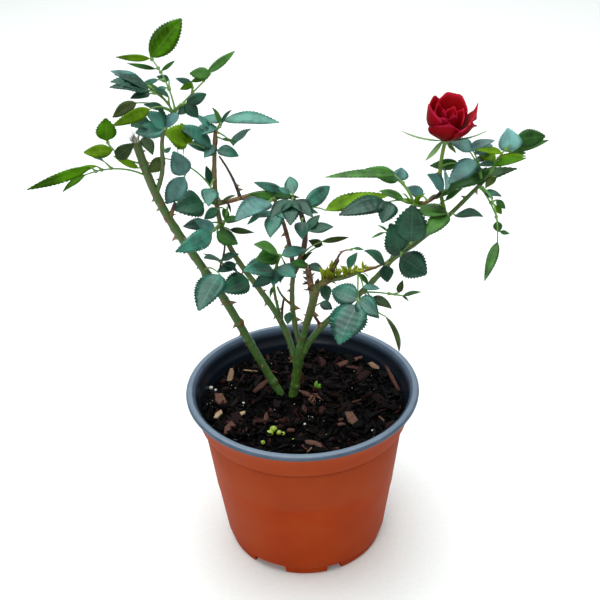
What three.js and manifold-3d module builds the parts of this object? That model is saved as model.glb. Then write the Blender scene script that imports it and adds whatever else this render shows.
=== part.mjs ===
// A miniature rose bush in its round nursery pot: millimetres, +Z up, origin at the centre
// of the pot's flat underside. Green canes rise from the potting mix, fork, and carry
// compound leaves, and one red bloom stands on its own stem.
import * as THREE from "three";
import { mergeVertices } from "three/addons/utils/BufferGeometryUtils.js";
import Module from "manifold-3d";

const wasm = await Module();
wasm.setup();

// ---------------------------------------------------------------- driving sizes
const GAP = 0.3; // clearance between neighbouring pieces
const POT = {
  height: 108.5,
  rim: 70, // outer radius of the flange
  flangeDepth: 3,
  collarTop: 67.4,
  collarFoot: 62.9,
  collarDepth: 19,
  body: 60.6, // outer radius of the body under the collar
  shoulder: 50, // of the body where it steps in to the foot ring
  foot: 48.4, // of the foot ring
  footHeight: 5.6,
  wall: 1.1,
  segments: 32,
};
// Drainage arches round the foot leave as many flat feet between them: heading, width and
// height of each, wide and narrow by turns.
const ARCHES = [
  [1, 23.3, 6.8],
  [50, 10, 4.7],
  [121, 23.3, 6.8],
  [170, 10, 4.7],
  [241, 23.3, 6.8],
  [290, 10, 4.7],
];
const ARCH = {
  crown: 0.9, // an arch's top width against its foot
  inner: 41,
  hole: 2.6, // radius of the drain hole over each arch
  holeAt: 45.5,
};
// The mix is level round the canes, within radius `level`, and lumpy outside it.
const MIX = { top: 95, level: 30, ring: 46, rough: 1.4, lumpX: 0.43, lumpY: 0.37 };
const CANE = { sides: 8, thinSides: 6, thin: 3, step: 16, sunk: 3, flare: 0.3, flareFade: 7 };
const STALK = { root: 1, tip: 0.75, sides: 4, step: 18 };
const LEAF = {
  width: 0.6,
  wide: 0.62,
  size: 0.85,
  shrink: 0.1,
  splay: 60,
  first: 1.5,
  gap: 8,
  fan: 8,
  droop: 0.14,
};
const PAD = { rays: 12, nearest: 10, heart: 2.2, heartThick: 1.4, edgeThick: 0.6, uneven: 0.06, outline: 8 };
const BLOOM = {
  height: 25,
  radius: 13,
  sides: 15,
  lobes: 5,
  lobe: 0.07, // how far the lip's lobes stand out, against the radius
  // [radius, height] up the side as shares of the bloom's own
  profile: [[0, 0], [0.42, 0.05], [0.76, 0.2], [0.93, 0.45], [1, 0.72], [0.94, 0.93], [0.62, 1], [0, 0.9]],
};

// ---------------------------------------------------------------- limbs
// A limb starts at its foot on the mix, or at a point along another limb. heading runs from
// +X towards +Y and rise up from level, in degrees; reach is its straight length. bow and
// sway bend it sideways in one arc and in an S, arch and wave do the same upwards, and kink
// bends it up in three. girth is its diameter at both ends.
const LIMBS = {
  "cane-left": {
    foot: [-13, 10], heading: 178.3, rise: 66.4, reach: 182.5, bow: -1.9, sway: -1, arch: -4.3,
    wave: 2.1, kink: -0.9, girth: [5.3, 4.8],
  },
  "cane-main": { foot: [-6.5, 6], heading: 333, rise: 80, reach: 40, girth: [6.4, 5.8] },
  "cane-gnarled": {
    on: ["cane-main", 1], heading: 309.4, rise: 72.1, reach: 46.8, bow: 0.3, sway: 0.1, arch: -0.1,
    wave: 0.3, girth: [3.8, 5],
  },
  "cane-gnarled-arm": {
    on: ["cane-gnarled", 1], heading: 343.6, rise: 27.3, reach: 27.7, arch: 1.5, wave: 1,
    girth: [4.4, 2.2],
  },
  "cane-right": {
    on: ["cane-main", 0.66], heading: 336, rise: 55, reach: 102, sway: -0.6, arch: 2.4, wave: 2,
    girth: [4.2, 3],
  },
  "cane-right-upper": {
    on: ["cane-right", 1], heading: 350.3, rise: 46.8, reach: 70.9, bow: -0.5, sway: -0.3,
    arch: -2.3, wave: -0.2, girth: [2.9, 2],
  },
  "flower-stem": {
    on: ["cane-right-upper", 0.53], heading: 140, rise: 84.6, reach: 40.7, bow: 2, arch: -2,
    girth: [2.2, 2],
  },
  "cane-back": {
    on: ["cane-main", 0.55], heading: 136.1, rise: 66.9, reach: 149.3, bow: 8.5, sway: -4.6,
    arch: -6.8, wave: 3.3, kink: 2.5, girth: [4, 2.4],
  },
  "cane-centre": {
    on: ["cane-main", 1], heading: 112, rise: 81, reach: 47.5, bow: 2.5, arch: -1,
    girth: [3.3, 2.7],
  },
  "cane-centre-dark": {
    on: ["cane-centre", 1], heading: 86, rise: 87, reach: 46, bow: -7, girth: [3.6, 2.4],
  },
  "cane-centre-thorny": {
    on: ["cane-centre", 1], heading: 113, rise: 53, reach: 44, bow: -1.5, arch: 0.7,
    girth: [2.7, 2.1],
  },
  "shoot-left-top": {
    on: ["cane-left", 0.825], heading: 330.4, rise: 72.8, reach: 52.7, bow: -1, sway: 1.3,
    arch: 1.4, wave: -1.6, girth: [2.8, 1.8],
  },
  "shoot-centre": {
    on: ["cane-back", 0.74], heading: 15, rise: -0.7, reach: 39.6, bow: 0.6, arch: 2.2, wave: -1.2,
    girth: [3, 1.8],
  },
  "shoot-inner": {
    on: ["cane-back", 0.19], heading: 271.6, rise: 68.6, reach: 65.1, bow: -4.1, sway: 0.6,
    arch: 0.6, wave: 0.6, girth: [1.8, 1.5],
  },
};

// ---------------------------------------------------------------- foliage
// A mass is one compound leaf: a stalk from a point along a limb, an end leaflet, and pairs
// of side leaflets. stalk and blade are [heading, rise, length] of the stalk and of the end
// leaflet, and roll turns the whole leaf about its blade. The pairs stand off by splay
// degrees, the first one `first` mm behind the stalk's end and the next ones `gap` mm apart.
// Each pair opens by fan degrees and shrinks by `shrink` more than the one before. size is a
// side leaflet's length against the end one's, lop makes the two sides unequal, skew turns
// both the same way, twist turns each about itself, and side 1 or -1 keeps only the left or
// the right ones. width and wide are the end and side leaflets' widths against their
// lengths, and arch is the stalk's rise against its length. The order decides which mass
// gives way where two meet: the later one is cut round the earlier.
const MASSES = {
  top: {
    on: ["shoot-left-top", 1], stalk: [124, 66, 30], blade: [48, 36, 27], pairs: 2, splay: 88,
    size: 0.62, twist: -65, wide: 0.5, tint: "young",
  },
  "right-top": {
    on: ["shoot-left-top", 1], stalk: [14, 44, 29], blade: [29, 29, 19], roll: -5, pairs: 2,
    splay: 108, size: 1.05, first: 2, gap: 9, width: 0.42, wide: 0.6, side: 1, tint: "fresh",
  },
  "far-left": {
    on: ["cane-left", 0.885], stalk: [229, 27, 39], blade: [205, -6, 37], roll: -10, pairs: 2,
    splay: 16, size: 0.55, shrink: 0.02, fan: 4, width: 0.28, wide: 0.38, tint: "young",
  },
  "right-most": {
    on: ["cane-right-upper", 1], stalk: [37, 25, 19], blade: [23, 25, 20], roll: 20, pairs: 1,
    splay: 40, size: 0.78, skew: 20, width: 0.5, wide: 0.75, tint: "fresh",
  },
  strap: {
    on: ["cane-right", 0.71], stalk: [40, -53, 33], blade: [51, -62, 36], roll: 10, width: 0.22,
    tint: "olive",
  },
  droop: {
    on: ["cane-right-upper", 0.88], stalk: [285, -35, 33], blade: [239, -36, 23], pairs: 2,
    splay: 70, size: 0.34, first: 9, gap: 6, width: 0.3, arch: 0.3, side: 1, tint: "fresh",
  },
  "front-centre": {
    on: ["cane-gnarled-arm", 1], stalk: [266, -11, 25], blade: [234, -35, 24], pairs: 1, splay: 82,
    size: 0.68, lop: 0.94, skew: -18, first: 3, width: 0.92, wide: 0.85, tint: "pale",
  },
  "big-five": {
    on: ["cane-gnarled-arm", 1], stalk: [319, 43, 47], blade: [157, 76, 22], pairs: 2, splay: 78,
    size: 0.86, shrink: 0.35, skew: -30, first: 9, gap: 14, width: 0.84, wide: 0.72, arch: -0.06,
    tint: "deep",
  },
  "back-top": {
    on: ["cane-back", 1], stalk: [48, 33, 8], blade: [0, -1, 32], roll: 15, pairs: 2, splay: 125,
    size: 0.42, shrink: -0.08, gap: 4, fan: 35, width: 0.42, wide: 0.75, side: 1, tint: "pale",
  },
  long: {
    on: ["cane-centre-dark", 0.8], stalk: [44, -14, 21], blade: [14, 9, 39], roll: 20, width: 0.32,
    tint: "young",
  },
  "far-upper": {
    on: ["flower-stem", 0.36], stalk: [200, 28, 29.5], blade: [196, 10, 37], roll: -30, pairs: 1,
    splay: 30, size: 0.5, first: 1, gap: 9, fan: 0, width: 0.24, wide: 0.7, side: 1, tint: "fresh",
  },
  "young-left": {
    on: ["cane-left", 0.93], stalk: [218, 44, 28], blade: [72, 77, 11], pairs: 1, splay: 125,
    size: 1.2, width: 1.05, wide: 0.55, arch: -0.2, tint: "young",
  },
  hanging: {
    on: ["cane-left", 0.52], stalk: [299, 21, 22], blade: [240, -22, 26], roll: -5, width: 0.68,
    tint: "pale",
  },
  rosette: {
    on: ["cane-back", 0.65], stalk: [255, 11, 18], blade: [236, 9, 31], roll: -25, pairs: 2,
    splay: 70, size: 0.62, shrink: 0.2, tint: "pale",
  },
  "front-left": {
    on: ["shoot-left-top", 0.78], stalk: [282, 26, 16], blade: [194, -1, 15], roll: -50, pairs: 2,
    size: 0.9, gap: 3, fan: 45, width: 0.65, wide: 0.75, side: -1, tint: "pale",
  },
  "left-mid": {
    on: ["shoot-left-top", 0.97], stalk: [243, 22, 22], blade: [228, -3, 26], roll: -10, pairs: 1,
    splay: 50, size: 0.8, side: -1, tint: "young",
  },
  "left-high": {
    on: ["shoot-left-top", 0.97], stalk: [217, 54, 22], blade: [210, 25, 20], roll: -20, pairs: 1,
    splay: 18, size: 0.95, shrink: 0.4, skew: -8, fan: 35, tint: "deep",
  },
  "right-low": {
    on: ["shoot-left-top", 1], stalk: [322, 35, 14], blade: [32, 10, 14], roll: 25, pairs: 1,
    splay: 58, side: -1, tint: "deep",
  },
  "yellow-mid": {
    on: ["cane-back", 0.91], stalk: [209, 38, 20], blade: [206, 36, 16], roll: -45, pairs: 1,
    size: 0.8, width: 0.95, wide: 0.8, side: -1, tint: "young",
  },
  "back-left": {
    on: ["cane-back", 0.95], stalk: [208, 13, 2], blade: [206, 41, 24], roll: -35, pairs: 1,
    splay: 45, size: 0.5, side: 1, tint: "pale",
  },
  "back-right": {
    on: ["cane-back", 1], stalk: [357, -42, 13], blade: [31, 35, 14], roll: -15, width: 1,
    tint: "pale",
  },
  "pair-left": {
    on: ["cane-back", 0.77], stalk: [226, 48, 28], blade: [211, 62, 17], roll: -55, pairs: 1,
    splay: 62, size: 1.15, lop: 1.14, first: 9, width: 0.8, wide: 0.95, tint: "pale",
  },
  "dark-left": {
    on: ["cane-back", 0.75], stalk: [207, 3, 8], blade: [221, 9, 20], roll: -45, width: 0.85,
    tint: "deep",
  },
  "rosette-right": {
    on: ["cane-back", 0.64], stalk: [336, 4, 5.5], blade: [332, 6, 18], pairs: 1, splay: 75,
    size: 0.7, width: 0.4, side: 1, tint: "olive",
  },
  "centre-large": {
    on: ["shoot-inner", 0.83], stalk: [214, 5, 1.5], blade: [215, 20, 20], roll: -25, pairs: 1,
    splay: 50, size: 0.6, width: 0.72, wide: 0.8, side: 1, tint: "pale",
  },
  "inner-top": {
    on: ["shoot-inner", 1], stalk: [212, 51, 2], blade: [189, 33, 15], roll: -10, width: 0.75,
    tint: "fresh",
  },
  "inner-right": {
    on: ["shoot-inner", 0.88], stalk: [300, -7, 1.5], blade: [319, -8, 13], roll: 10, width: 0.85,
    tint: "pale",
  },
  "thorny-left": {
    on: ["cane-centre-thorny", 0.98], stalk: [254, 19, 11], blade: [231, 2, 29], roll: -10,
    tint: "pale",
  },
  "thorny-side": {
    on: ["cane-centre-thorny", 0.8], stalk: [261, 18, 12], blade: [259, -12, 19], pairs: 1,
    splay: 70, size: 0.6, tint: "pale",
  },
  "centre-top": {
    on: ["cane-centre-dark", 0.99], stalk: [91, -24, 11], blade: [110, 35, 15], pairs: 1, splay: 55,
    width: 0.75, wide: 0.7, side: 1, tint: "pale",
  },
  "dark-centre": {
    on: ["cane-centre-dark", 0.98], stalk: [268, 15, 10], blade: [266, -10, 20], pairs: 1,
    splay: 38, size: 0.95, tint: "deep",
  },
  "centre-mid": {
    on: ["cane-centre-dark", 0.09], stalk: [308, 21, 10], blade: [217, 22, 14], roll: -30,
    width: 0.5, tint: "fresh",
  },
  "right-centre": {
    on: ["cane-centre-dark", 0.85], stalk: [72, -26, 12], blade: [51, 10, 27], roll: 10, pairs: 1,
    size: 0.45, tint: "pale",
  },
  "branch-left": {
    on: ["cane-centre-dark", 0.12], stalk: [327, 50, 18], blade: [12, 6, 20], roll: 10, pairs: 1,
    splay: 150, size: 0.5, width: 0.32, wide: 0.4, tint: "olive",
  },
  "far-lower": {
    on: ["flower-stem", 0.36], stalk: [215, 8, 36], blade: [206, 1, 27], roll: -30, pairs: 1,
    splay: 48, size: 0.52, width: 0.42, wide: 0.85, side: 1, tint: "deep",
  },
  "right-node": {
    on: ["cane-right-upper", 0.55], stalk: [259, 31, 10], blade: [228, -13, 19], roll: -10,
    pairs: 2, size: 1, gap: 3, fan: 20, side: -1, tint: "fresh",
  },
  "right-inner": {
    on: ["cane-right-upper", 0.95], stalk: [158, 60, 11], blade: [212, -24, 19], roll: -30,
    tint: "pale",
  },
  "bloom-leaf": {
    on: ["flower-stem", 0.39], stalk: [282, 26, 6], blade: [178, 48, 12], roll: -20, width: 0.85,
    tint: "pale",
  },
  "long-right": {
    on: ["flower-stem", 0.3], stalk: [298, 56, 7], blade: [9, 14, 39], roll: 20, width: 0.27,
    tint: "fresh",
  },
  "yellow-right": {
    on: ["cane-right-upper", 1], stalk: [34, 61, 8], blade: [11, 3, 16], roll: 10, pairs: 1,
    splay: 95, size: 0.95, gap: 2, fan: 40, width: 0.36, wide: 0.5, side: 1, tint: "young",
  },
  "under-bloom": {
    on: ["cane-right-upper", 0.91], stalk: [127, 64, 17], blade: [161, 20, 14], roll: -20, pairs: 1,
    splay: 105, size: 1.05, width: 0.7, wide: 0.55, side: -1, tint: "pale",
  },
  "front-dark": {
    on: ["cane-right", 0.71], stalk: [317, -30, 6], blade: [321, -6, 14], roll: 10, tint: "olive",
  },
  "thin-twig": {
    on: ["cane-right", 0.69], stalk: [323, 14, 28], blade: [350, 19, 10], roll: 20, pairs: 1,
    splay: 70, size: 0.7, width: 0.32, wide: 0.5, tint: "fresh",
  },
};

const COLOURS = {
  terracotta: 0x98472a,
  mix: 0x3a2a20,
  cane: 0x55702f,
  bark: 0x5a5238,
  young: 0x5f8f2c,
  fresh: 0x4d7a44,
  pale: 0x5f8676,
  deep: 0x3c5f4c,
  olive: 0x5d6346,
  crimson: 0x9a0a1c,
};

// ---------------------------------------------------------------- directions and solids
const { degToRad, lerp } = THREE.MathUtils;

function towards([heading, rise]) {
  const h = degToRad(heading);
  const r = degToRad(rise);
  return new THREE.Vector3(Math.cos(r) * Math.cos(h), Math.cos(r) * Math.sin(h), Math.sin(r));
}

// A seeded source of numbers from -1 to 1.
function dice(seed) {
  let state = seed;
  return () => {
    state = (state * 16807) % 2147483647;
    return (state / 2147483647) * 2 - 1;
  };
}

// The level direction to the left of a heading, and the direction square to both.
function acrossAndUp(direction) {
  const across = new THREE.Vector3(-direction.y, direction.x, 0).normalize();
  return { across, up: direction.clone().cross(across) };
}

function solidOf(geometry) {
  const plain = geometry.clone();
  plain.deleteAttribute("normal");
  plain.deleteAttribute("uv");
  const merged = mergeVertices(plain, 1e-4);
  return new wasm.Manifold(
    new wasm.Mesh({
      numProp: 3,
      vertProperties: new Float32Array(merged.attributes.position.array),
      triVerts: new Uint32Array(merged.index.array),
    }),
  );
}

function geometryOf(solid) {
  const mesh = solid.getMesh();
  const geometry = new THREE.BufferGeometry();
  geometry.setAttribute("position", new THREE.BufferAttribute(mesh.vertProperties, 3));
  geometry.setIndex(new THREE.BufferAttribute(mesh.triVerts, 1));
  geometry.computeVertexNormals();
  return geometry;
}

function largest(solid) {
  return solid.decompose().reduce((a, b) => (b.volume() > a.volume() ? b : a));
}

function boxesMeet(a, b) {
  const p = a.boundingBox();
  const q = b.boundingBox();
  return [0, 1, 2].every((k) => p.min[k] < q.max[k] && q.min[k] < p.max[k]);
}

// Cuts a solid by every grown neighbour that it meets and keeps the largest piece.
function cutRound(solid, neighbours) {
  let left = solid;
  for (const other of neighbours) {
    if (boxesMeet(left, other)) left = left.subtract(other);
  }
  return largest(left);
}

// A solid of revolution from [radius, height] points that start and end on the axis.
function turned(points, segments) {
  const profile = points.map(([r, z]) => new THREE.Vector2(r, z));
  return solidOf(new THREE.LatheGeometry(profile, segments).rotateX(Math.PI / 2));
}

// The profile of the wall's inner side, drawn in by `inset`, up to a given height.
function hollow(inset, top) {
  const collarZ = POT.height - POT.collarDepth;
  const wall = POT.wall + inset;
  const collar = (z) => lerp(POT.collarFoot, POT.collarTop, (z - collarZ) / POT.collarDepth) - wall;
  return [
    [0, wall],
    [POT.foot - wall - 1.4, wall],
    [POT.foot - wall, wall + 1.4],
    [POT.foot - wall, POT.footHeight + 0.8],
    [POT.shoulder - wall, POT.footHeight + 3],
    [POT.body - wall, collarZ - 0.5],
    [collar(collarZ + 2), collarZ + 2],
    [collar(top), top],
  ];
}

// Blocks that cut the drainage arches out of the foot, swollen by a wall's thickness where
// they rise into the pot.
function arches(swell) {
  const outer = POT.rim;
  const blocks = [];
  for (const [heading, width, height] of ARCHES) {
    const shape = new THREE.Shape();
    const half = width / 2 + swell;
    const crown = ARCH.crown * half;
    shape.moveTo(-half, -height);
    shape.lineTo(half, -height);
    shape.lineTo(crown, height + swell);
    shape.lineTo(-crown, height + swell);
    const block = new THREE.ExtrudeGeometry(shape, {
      depth: outer - ARCH.inner + swell,
      bevelEnabled: false,
    });
    block.rotateX(Math.PI / 2);
    block.translate(0, outer, 0);
    block.rotateZ(degToRad(heading - 90));
    blocks.push(solidOf(block));
  }
  return blocks;
}

function potSolid() {
  const { height, rim, flangeDepth, foot, footHeight } = POT;
  const collarZ = height - POT.collarDepth;
  let outside = turned(
    [
      [0, 0],
      [foot - 1.4, 0],
      [foot, 1.4],
      [foot, footHeight],
      [POT.shoulder, footHeight + 1],
      [POT.body, collarZ - 1.5],
      [POT.collarFoot, collarZ],
      [POT.collarTop, height - flangeDepth],
      [rim - 0.8, height - flangeDepth],
      [rim, height - flangeDepth + 0.9],
      [rim - 0.3, height - 0.8],
      [rim - 1.4, height],
      [0, height],
    ],
    POT.segments,
  );
  let inside = turned([...hollow(0, height + 1), [0, height + 1]], POT.segments);
  for (const block of arches(0)) outside = outside.subtract(block);
  for (const block of arches(POT.wall)) inside = inside.subtract(block);
  let pot = outside.subtract(inside);
  const drain = new THREE.CylinderGeometry(ARCH.hole, ARCH.hole, 24, 8);
  drain.rotateX(Math.PI / 2);
  drain.translate(0, ARCH.holeAt, 0);
  for (const [heading] of ARCHES) {
    const hole = drain.clone().rotateZ(degToRad(heading - 90));
    pot = pot.subtract(solidOf(hole));
  }
  return pot;
}

// The mix fills the pot, level round the canes and lumpy towards the wall.
function mixSolid() {
  const { top, level, ring, rough, lumpX, lumpY } = MIX;
  const profile = [...hollow(GAP, top), [ring, top], [level, top], [0, top]];
  const points = profile.map(([r, z]) => new THREE.Vector2(r, z));
  const body = new THREE.LatheGeometry(points, POT.segments).rotateX(Math.PI / 2);
  const place = body.attributes.position;
  for (let i = 0; i < place.count; i++) {
    const [x, y, z] = [place.getX(i), place.getY(i), place.getZ(i)];
    const loose = z > top - 0.01 && Math.hypot(x, y) > level + 1;
    if (loose) place.setZ(i, top + rough * Math.sin(lumpX * x) * Math.cos(lumpY * y));
  }
  let mix = solidOf(body);
  for (const block of arches(POT.wall + GAP)) mix = mix.subtract(block);
  return mix;
}

// ---------------------------------------------------------------- limbs
function limbPoint(name, t) {
  const limb = LIMBS[name];
  const start = limb.foot ? new THREE.Vector3(...limb.foot, MIX.top) : limbPoint(...limb.on);
  const along = towards([limb.heading, limb.rise]);
  const { across, up } = acrossAndUp(along);
  const { bow = 0, sway = 0, arch = 0, wave = 0, kink = 0 } = limb;
  const arc = 4 * t * (1 - t);
  const ess = Math.sin(2 * Math.PI * t);
  const third = Math.sin(3 * Math.PI * t);
  return start
    .addScaledVector(along, limb.reach * t)
    .addScaledVector(across, bow * arc + sway * ess)
    .addScaledVector(up, arch * arc + wave * ess + kink * third);
}

// A round bar of changing radius whose middle follows a path from t = first to t = 1.
function bar(path, radius, length, sides, step, first = 0) {
  const steps = Math.max(2, Math.round(length / step));
  const shape = new THREE.CylinderGeometry(1, 1, 1, sides, steps).toNonIndexed();
  const place = shape.attributes.position;
  const { across } = acrossAndUp(path(1).sub(path(first)));
  const point = new THREE.Vector3();
  const eps = 1e-3;
  for (let i = 0; i < place.count; i++) {
    const t = lerp(first, 1, place.getY(i) + 0.5);
    const along = path(t + eps).sub(path(t - eps));
    const up = along.cross(across).normalize();
    const r = radius(t);
    point.copy(path(t)).addScaledVector(across, r * place.getX(i)).addScaledVector(up, -r * place.getZ(i));
    place.setXYZ(i, ...point);
  }
  return solidOf(shape);
}

function limbSolid(name, grow) {
  const limb = LIMBS[name];
  const [foot, tip] = limb.girth;
  const flare = (t) => (limb.foot ? CANE.flare * Math.exp((-limb.reach * t) / CANE.flareFade) : 0);
  const radius = (t) => 0.5 * lerp(foot, tip, t) * (1 + flare(t)) + grow;
  const sides = foot > CANE.thin ? CANE.sides : CANE.thinSides;
  const first = limb.foot ? -CANE.sunk / limb.reach : 0;
  return bar((t) => limbPoint(name, t), radius, limb.reach, sides, CANE.step, first);
}

// ---------------------------------------------------------------- foliage
function stalkPoint(mass, t) {
  const [heading, rise, length] = mass.stalk;
  const along = towards([heading, rise]);
  const { up } = acrossAndUp(along);
  const arch = (mass.arch ?? 0.1) * length;
  return limbPoint(...mass.on)
    .addScaledVector(along, length * t)
    .addScaledVector(up, 4 * t * (1 - t) * arch);
}

// Each leaflet's base, direction, left side, upper face, length and width.
function leafletsOf(mass) {
  const { size = LEAF.size, shrink = LEAF.shrink, splay = LEAF.splay, first = LEAF.first } = mass;
  const { gap = LEAF.gap, fan = LEAF.fan, pairs = 0, lop = 1, skew = 0, twist = 0 } = mass;
  const [heading, rise, length] = mass.blade;
  const along = towards([heading, rise]);
  const level = acrossAndUp(along);
  const roll = degToRad(mass.roll ?? 0);
  const left = level.across.clone().multiplyScalar(Math.cos(roll)).addScaledVector(level.up, Math.sin(roll));
  const up = along.clone().cross(left);
  const tip = stalkPoint(mass, 1);
  const leaflets = [{ base: tip, along, left, up, length, width: mass.width ?? LEAF.width }];
  const stalkEnd = tip.clone().sub(stalkPoint(mass, 0.825)).normalize();
  for (let k = 0; k < pairs; k++) {
    const base = stalkPoint(mass, Math.max(0, 1 - (first + k * gap) / mass.stalk[2]));
    const share = k ? 0.7 : 0.5;
    const ahead = stalkEnd.clone().multiplyScalar(share).addScaledVector(along, 1 - share).normalize();
    const out = left.clone().addScaledVector(ahead, -ahead.dot(left)).normalize();
    const face = ahead.clone().cross(out);
    for (const side of mass.side ? [mass.side] : [1, -1]) {
      const angle = degToRad(splay + skew * side + fan * k);
      const way = ahead.clone().multiplyScalar(Math.cos(angle)).addScaledVector(out, side * Math.sin(angle));
      const turn = degToRad(twist * side);
      const flat = face.clone().cross(way);
      leaflets.push({
        base,
        along: way,
        left: flat.clone().multiplyScalar(Math.cos(turn)).addScaledVector(face, Math.sin(turn)),
        up: face.clone().multiplyScalar(Math.cos(turn)).addScaledVector(flat, -Math.sin(turn)),
        length: length * (size - shrink * k) * lop ** side,
        width: mass.wide ?? LEAF.wide,
      });
    }
  }
  return leaflets;
}

// A leaflet's outline, once round from its base, in the frame of a mass's heart.
function outlineOf(leaflet, frame) {
  const points = [];
  const n = PAD.outline;
  for (let i = 0; i < 2 * n; i++) {
    const side = i < n ? 1 : -1;
    const t = side > 0 ? i / n : 2 - i / n;
    const half = 0.5 * leaflet.width * leaflet.length * Math.sin(Math.PI * t ** 0.8) ** 0.8 * (1 - 0.15 * t);
    const point = leaflet.base
      .clone()
      .addScaledVector(leaflet.along, leaflet.length * t)
      .addScaledVector(leaflet.left, side * half)
      .addScaledVector(leaflet.up, -LEAF.droop * leaflet.length * t * t)
      .sub(frame.heart);
    points.push([point.dot(frame.along), point.dot(frame.left), point.dot(frame.up)]);
  }
  return points;
}

// How far the outlines reach from the heart at an angle, and at what height.
function reachAt(outlines, angle) {
  const [cos, sin] = [Math.cos(angle), Math.sin(angle)];
  let best = [PAD.heart, 0];
  for (const outline of outlines) {
    outline.forEach(([x0, y0, z0], i) => {
      const [x1, y1, z1] = outline[(i + 1) % outline.length];
      const off0 = y0 * cos - x0 * sin;
      const off1 = y1 * cos - x1 * sin;
      if (off0 * off1 > 0 || off0 === off1) return;
      const s = off0 / (off0 - off1);
      const r = lerp(x0, x1, s) * cos + lerp(y0, y1, s) * sin;
      if (r > best[0]) best = [r, lerp(z0, z1, s)];
    });
  }
  return best;
}

// The thin uneven pad that a leaf's leaflets fill, thick at its heart and fine at its rim.
function padSolid(mass, seed, grow) {
  const leaflets = leafletsOf(mass);
  const { base: heart, along, left, up } = leaflets[0];
  const outlines = leaflets.map((leaflet) => outlineOf(leaflet, { heart, along, left, up }));
  const tips = outlines.map((outline) => Math.atan2(outline[PAD.outline][1], outline[PAD.outline][0]));
  const apart = (a, b) => Math.abs(Math.atan2(Math.sin(a - b), Math.cos(a - b)));
  const rays = [];
  for (const tip of tips) {
    if (rays.every((a) => apart(a, tip) > degToRad(PAD.nearest))) rays.push(tip);
  }
  const tipCount = rays.length;
  for (let i = 0; i < PAD.rays; i++) {
    const angle = (i / PAD.rays) * 2 * Math.PI;
    if (rays.every((a) => apart(a, angle) > degToRad(PAD.nearest))) rays.push(angle);
  }
  const roll = dice(seed);
  const rim = rays.map((angle, i) => {
    const [r, z] = reachAt(outlines, angle);
    const uneven = i < tipCount ? 0 : PAD.uneven * roll();
    return { angle: (angle + 2 * Math.PI) % (2 * Math.PI), r: r * (1 + uneven) + grow, z };
  });
  rim.sort((a, b) => a.angle - b.angle);
  const spot = (x, y, z) => {
    const p = heart.clone().addScaledVector(along, x).addScaledVector(left, y).addScaledVector(up, z);
    return [p.x, p.y, p.z];
  };
  const half = PAD.edgeThick + grow;
  const vertices = [...spot(0, 0, PAD.heartThick + grow), ...spot(0, 0, -PAD.heartThick - grow)];
  for (const { angle, r, z } of rim) {
    const [x, y] = [r * Math.cos(angle), r * Math.sin(angle)];
    vertices.push(...spot(x, y, z + half), ...spot(x, y, z - half));
  }
  const faces = [];
  rim.forEach((_, i) => {
    const a = 2 + 2 * i;
    const b = 2 + 2 * ((i + 1) % rim.length);
    faces.push(0, a, b, 1, b + 1, a + 1, a, a + 1, b, b, a + 1, b + 1);
  });
  const pad = new THREE.BufferGeometry();
  pad.setAttribute("position", new THREE.Float32BufferAttribute(vertices, 3));
  pad.setIndex(faces);
  return solidOf(pad);
}

function massSolid(mass, seed, grow) {
  const radius = (t) => lerp(STALK.root, STALK.tip, t) + grow;
  const stalk = bar((t) => stalkPoint(mass, t), radius, mass.stalk[2], STALK.sides, STALK.step);
  return padSolid(mass, seed, grow).add(stalk);
}

// ---------------------------------------------------------------- the bloom
// A cupped flower of overlapping petals, rounder below and lobed at its lip.
function bloomSolid() {
  const { height, radius, sides, lobes, lobe } = BLOOM;
  const points = BLOOM.profile.map(([r, z]) => new THREE.Vector2(r * radius, z * height));
  const shape = new THREE.LatheGeometry(points, sides).rotateX(Math.PI / 2);
  const place = shape.attributes.position;
  const foot = limbPoint("flower-stem", 1);
  const along = foot.clone().sub(limbPoint("flower-stem", 0.9)).normalize();
  const { across, up } = acrossAndUp(along);
  const point = new THREE.Vector3();
  for (let i = 0; i < place.count; i++) {
    const [x, y, z] = [place.getX(i), place.getY(i), place.getZ(i)];
    const swell = 1 + lobe * (z / height) * Math.cos(lobes * Math.atan2(y, x));
    point.copy(foot).addScaledVector(along, z + GAP);
    point.addScaledVector(across, x * swell).addScaledVector(up, y * swell);
    place.setXYZ(i, ...point);
  }
  return solidOf(shape);
}

// ---------------------------------------------------------------- the whole plant
const plant = new THREE.Group();

function place(name, solid, colour, roughness) {
  const finish = new THREE.MeshStandardMaterial({ color: colour, roughness, metalness: 0 });
  const mesh = new THREE.Mesh(geometryOf(solid), finish);
  mesh.name = name;
  plant.add(mesh);
}

place("pot", potSolid(), COLOURS.terracotta, 0.45);
place("mix", mixSolid(), COLOURS.mix, 0.95);

// The canes are trimmed flat just over the mix, and each limb starts at its parent's skin.
const ground = solidOf(new THREE.BoxGeometry(200, 200, 40).translate(0, 0, MIX.top + GAP - 20));
const grownLimbs = [];
for (const name of Object.keys(LIMBS)) {
  const limb = cutRound(limbSolid(name, 0), [...grownLimbs, ground]);
  grownLimbs.push(limbSolid(name, GAP));
  place(name, limb, COLOURS.cane, 0.6);
}

const bloom = bloomSolid();
place("bloom", bloom, COLOURS.crimson, 0.55);

const inTheWay = [...grownLimbs, bloom];
Object.entries(MASSES).forEach(([name, mass], i) => {
  const seed = 101 + 37 * i;
  place(`foliage-${name}`, cutRound(massSolid(mass, seed, 0), inTheWay), COLOURS[mass.tint], 0.5);
  inTheWay.push(massSolid(mass, seed, GAP));
});

export default plant;
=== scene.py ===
import math

import bpy
import numpy as np
from mathutils import Euler, Matrix, Vector, noise


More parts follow.
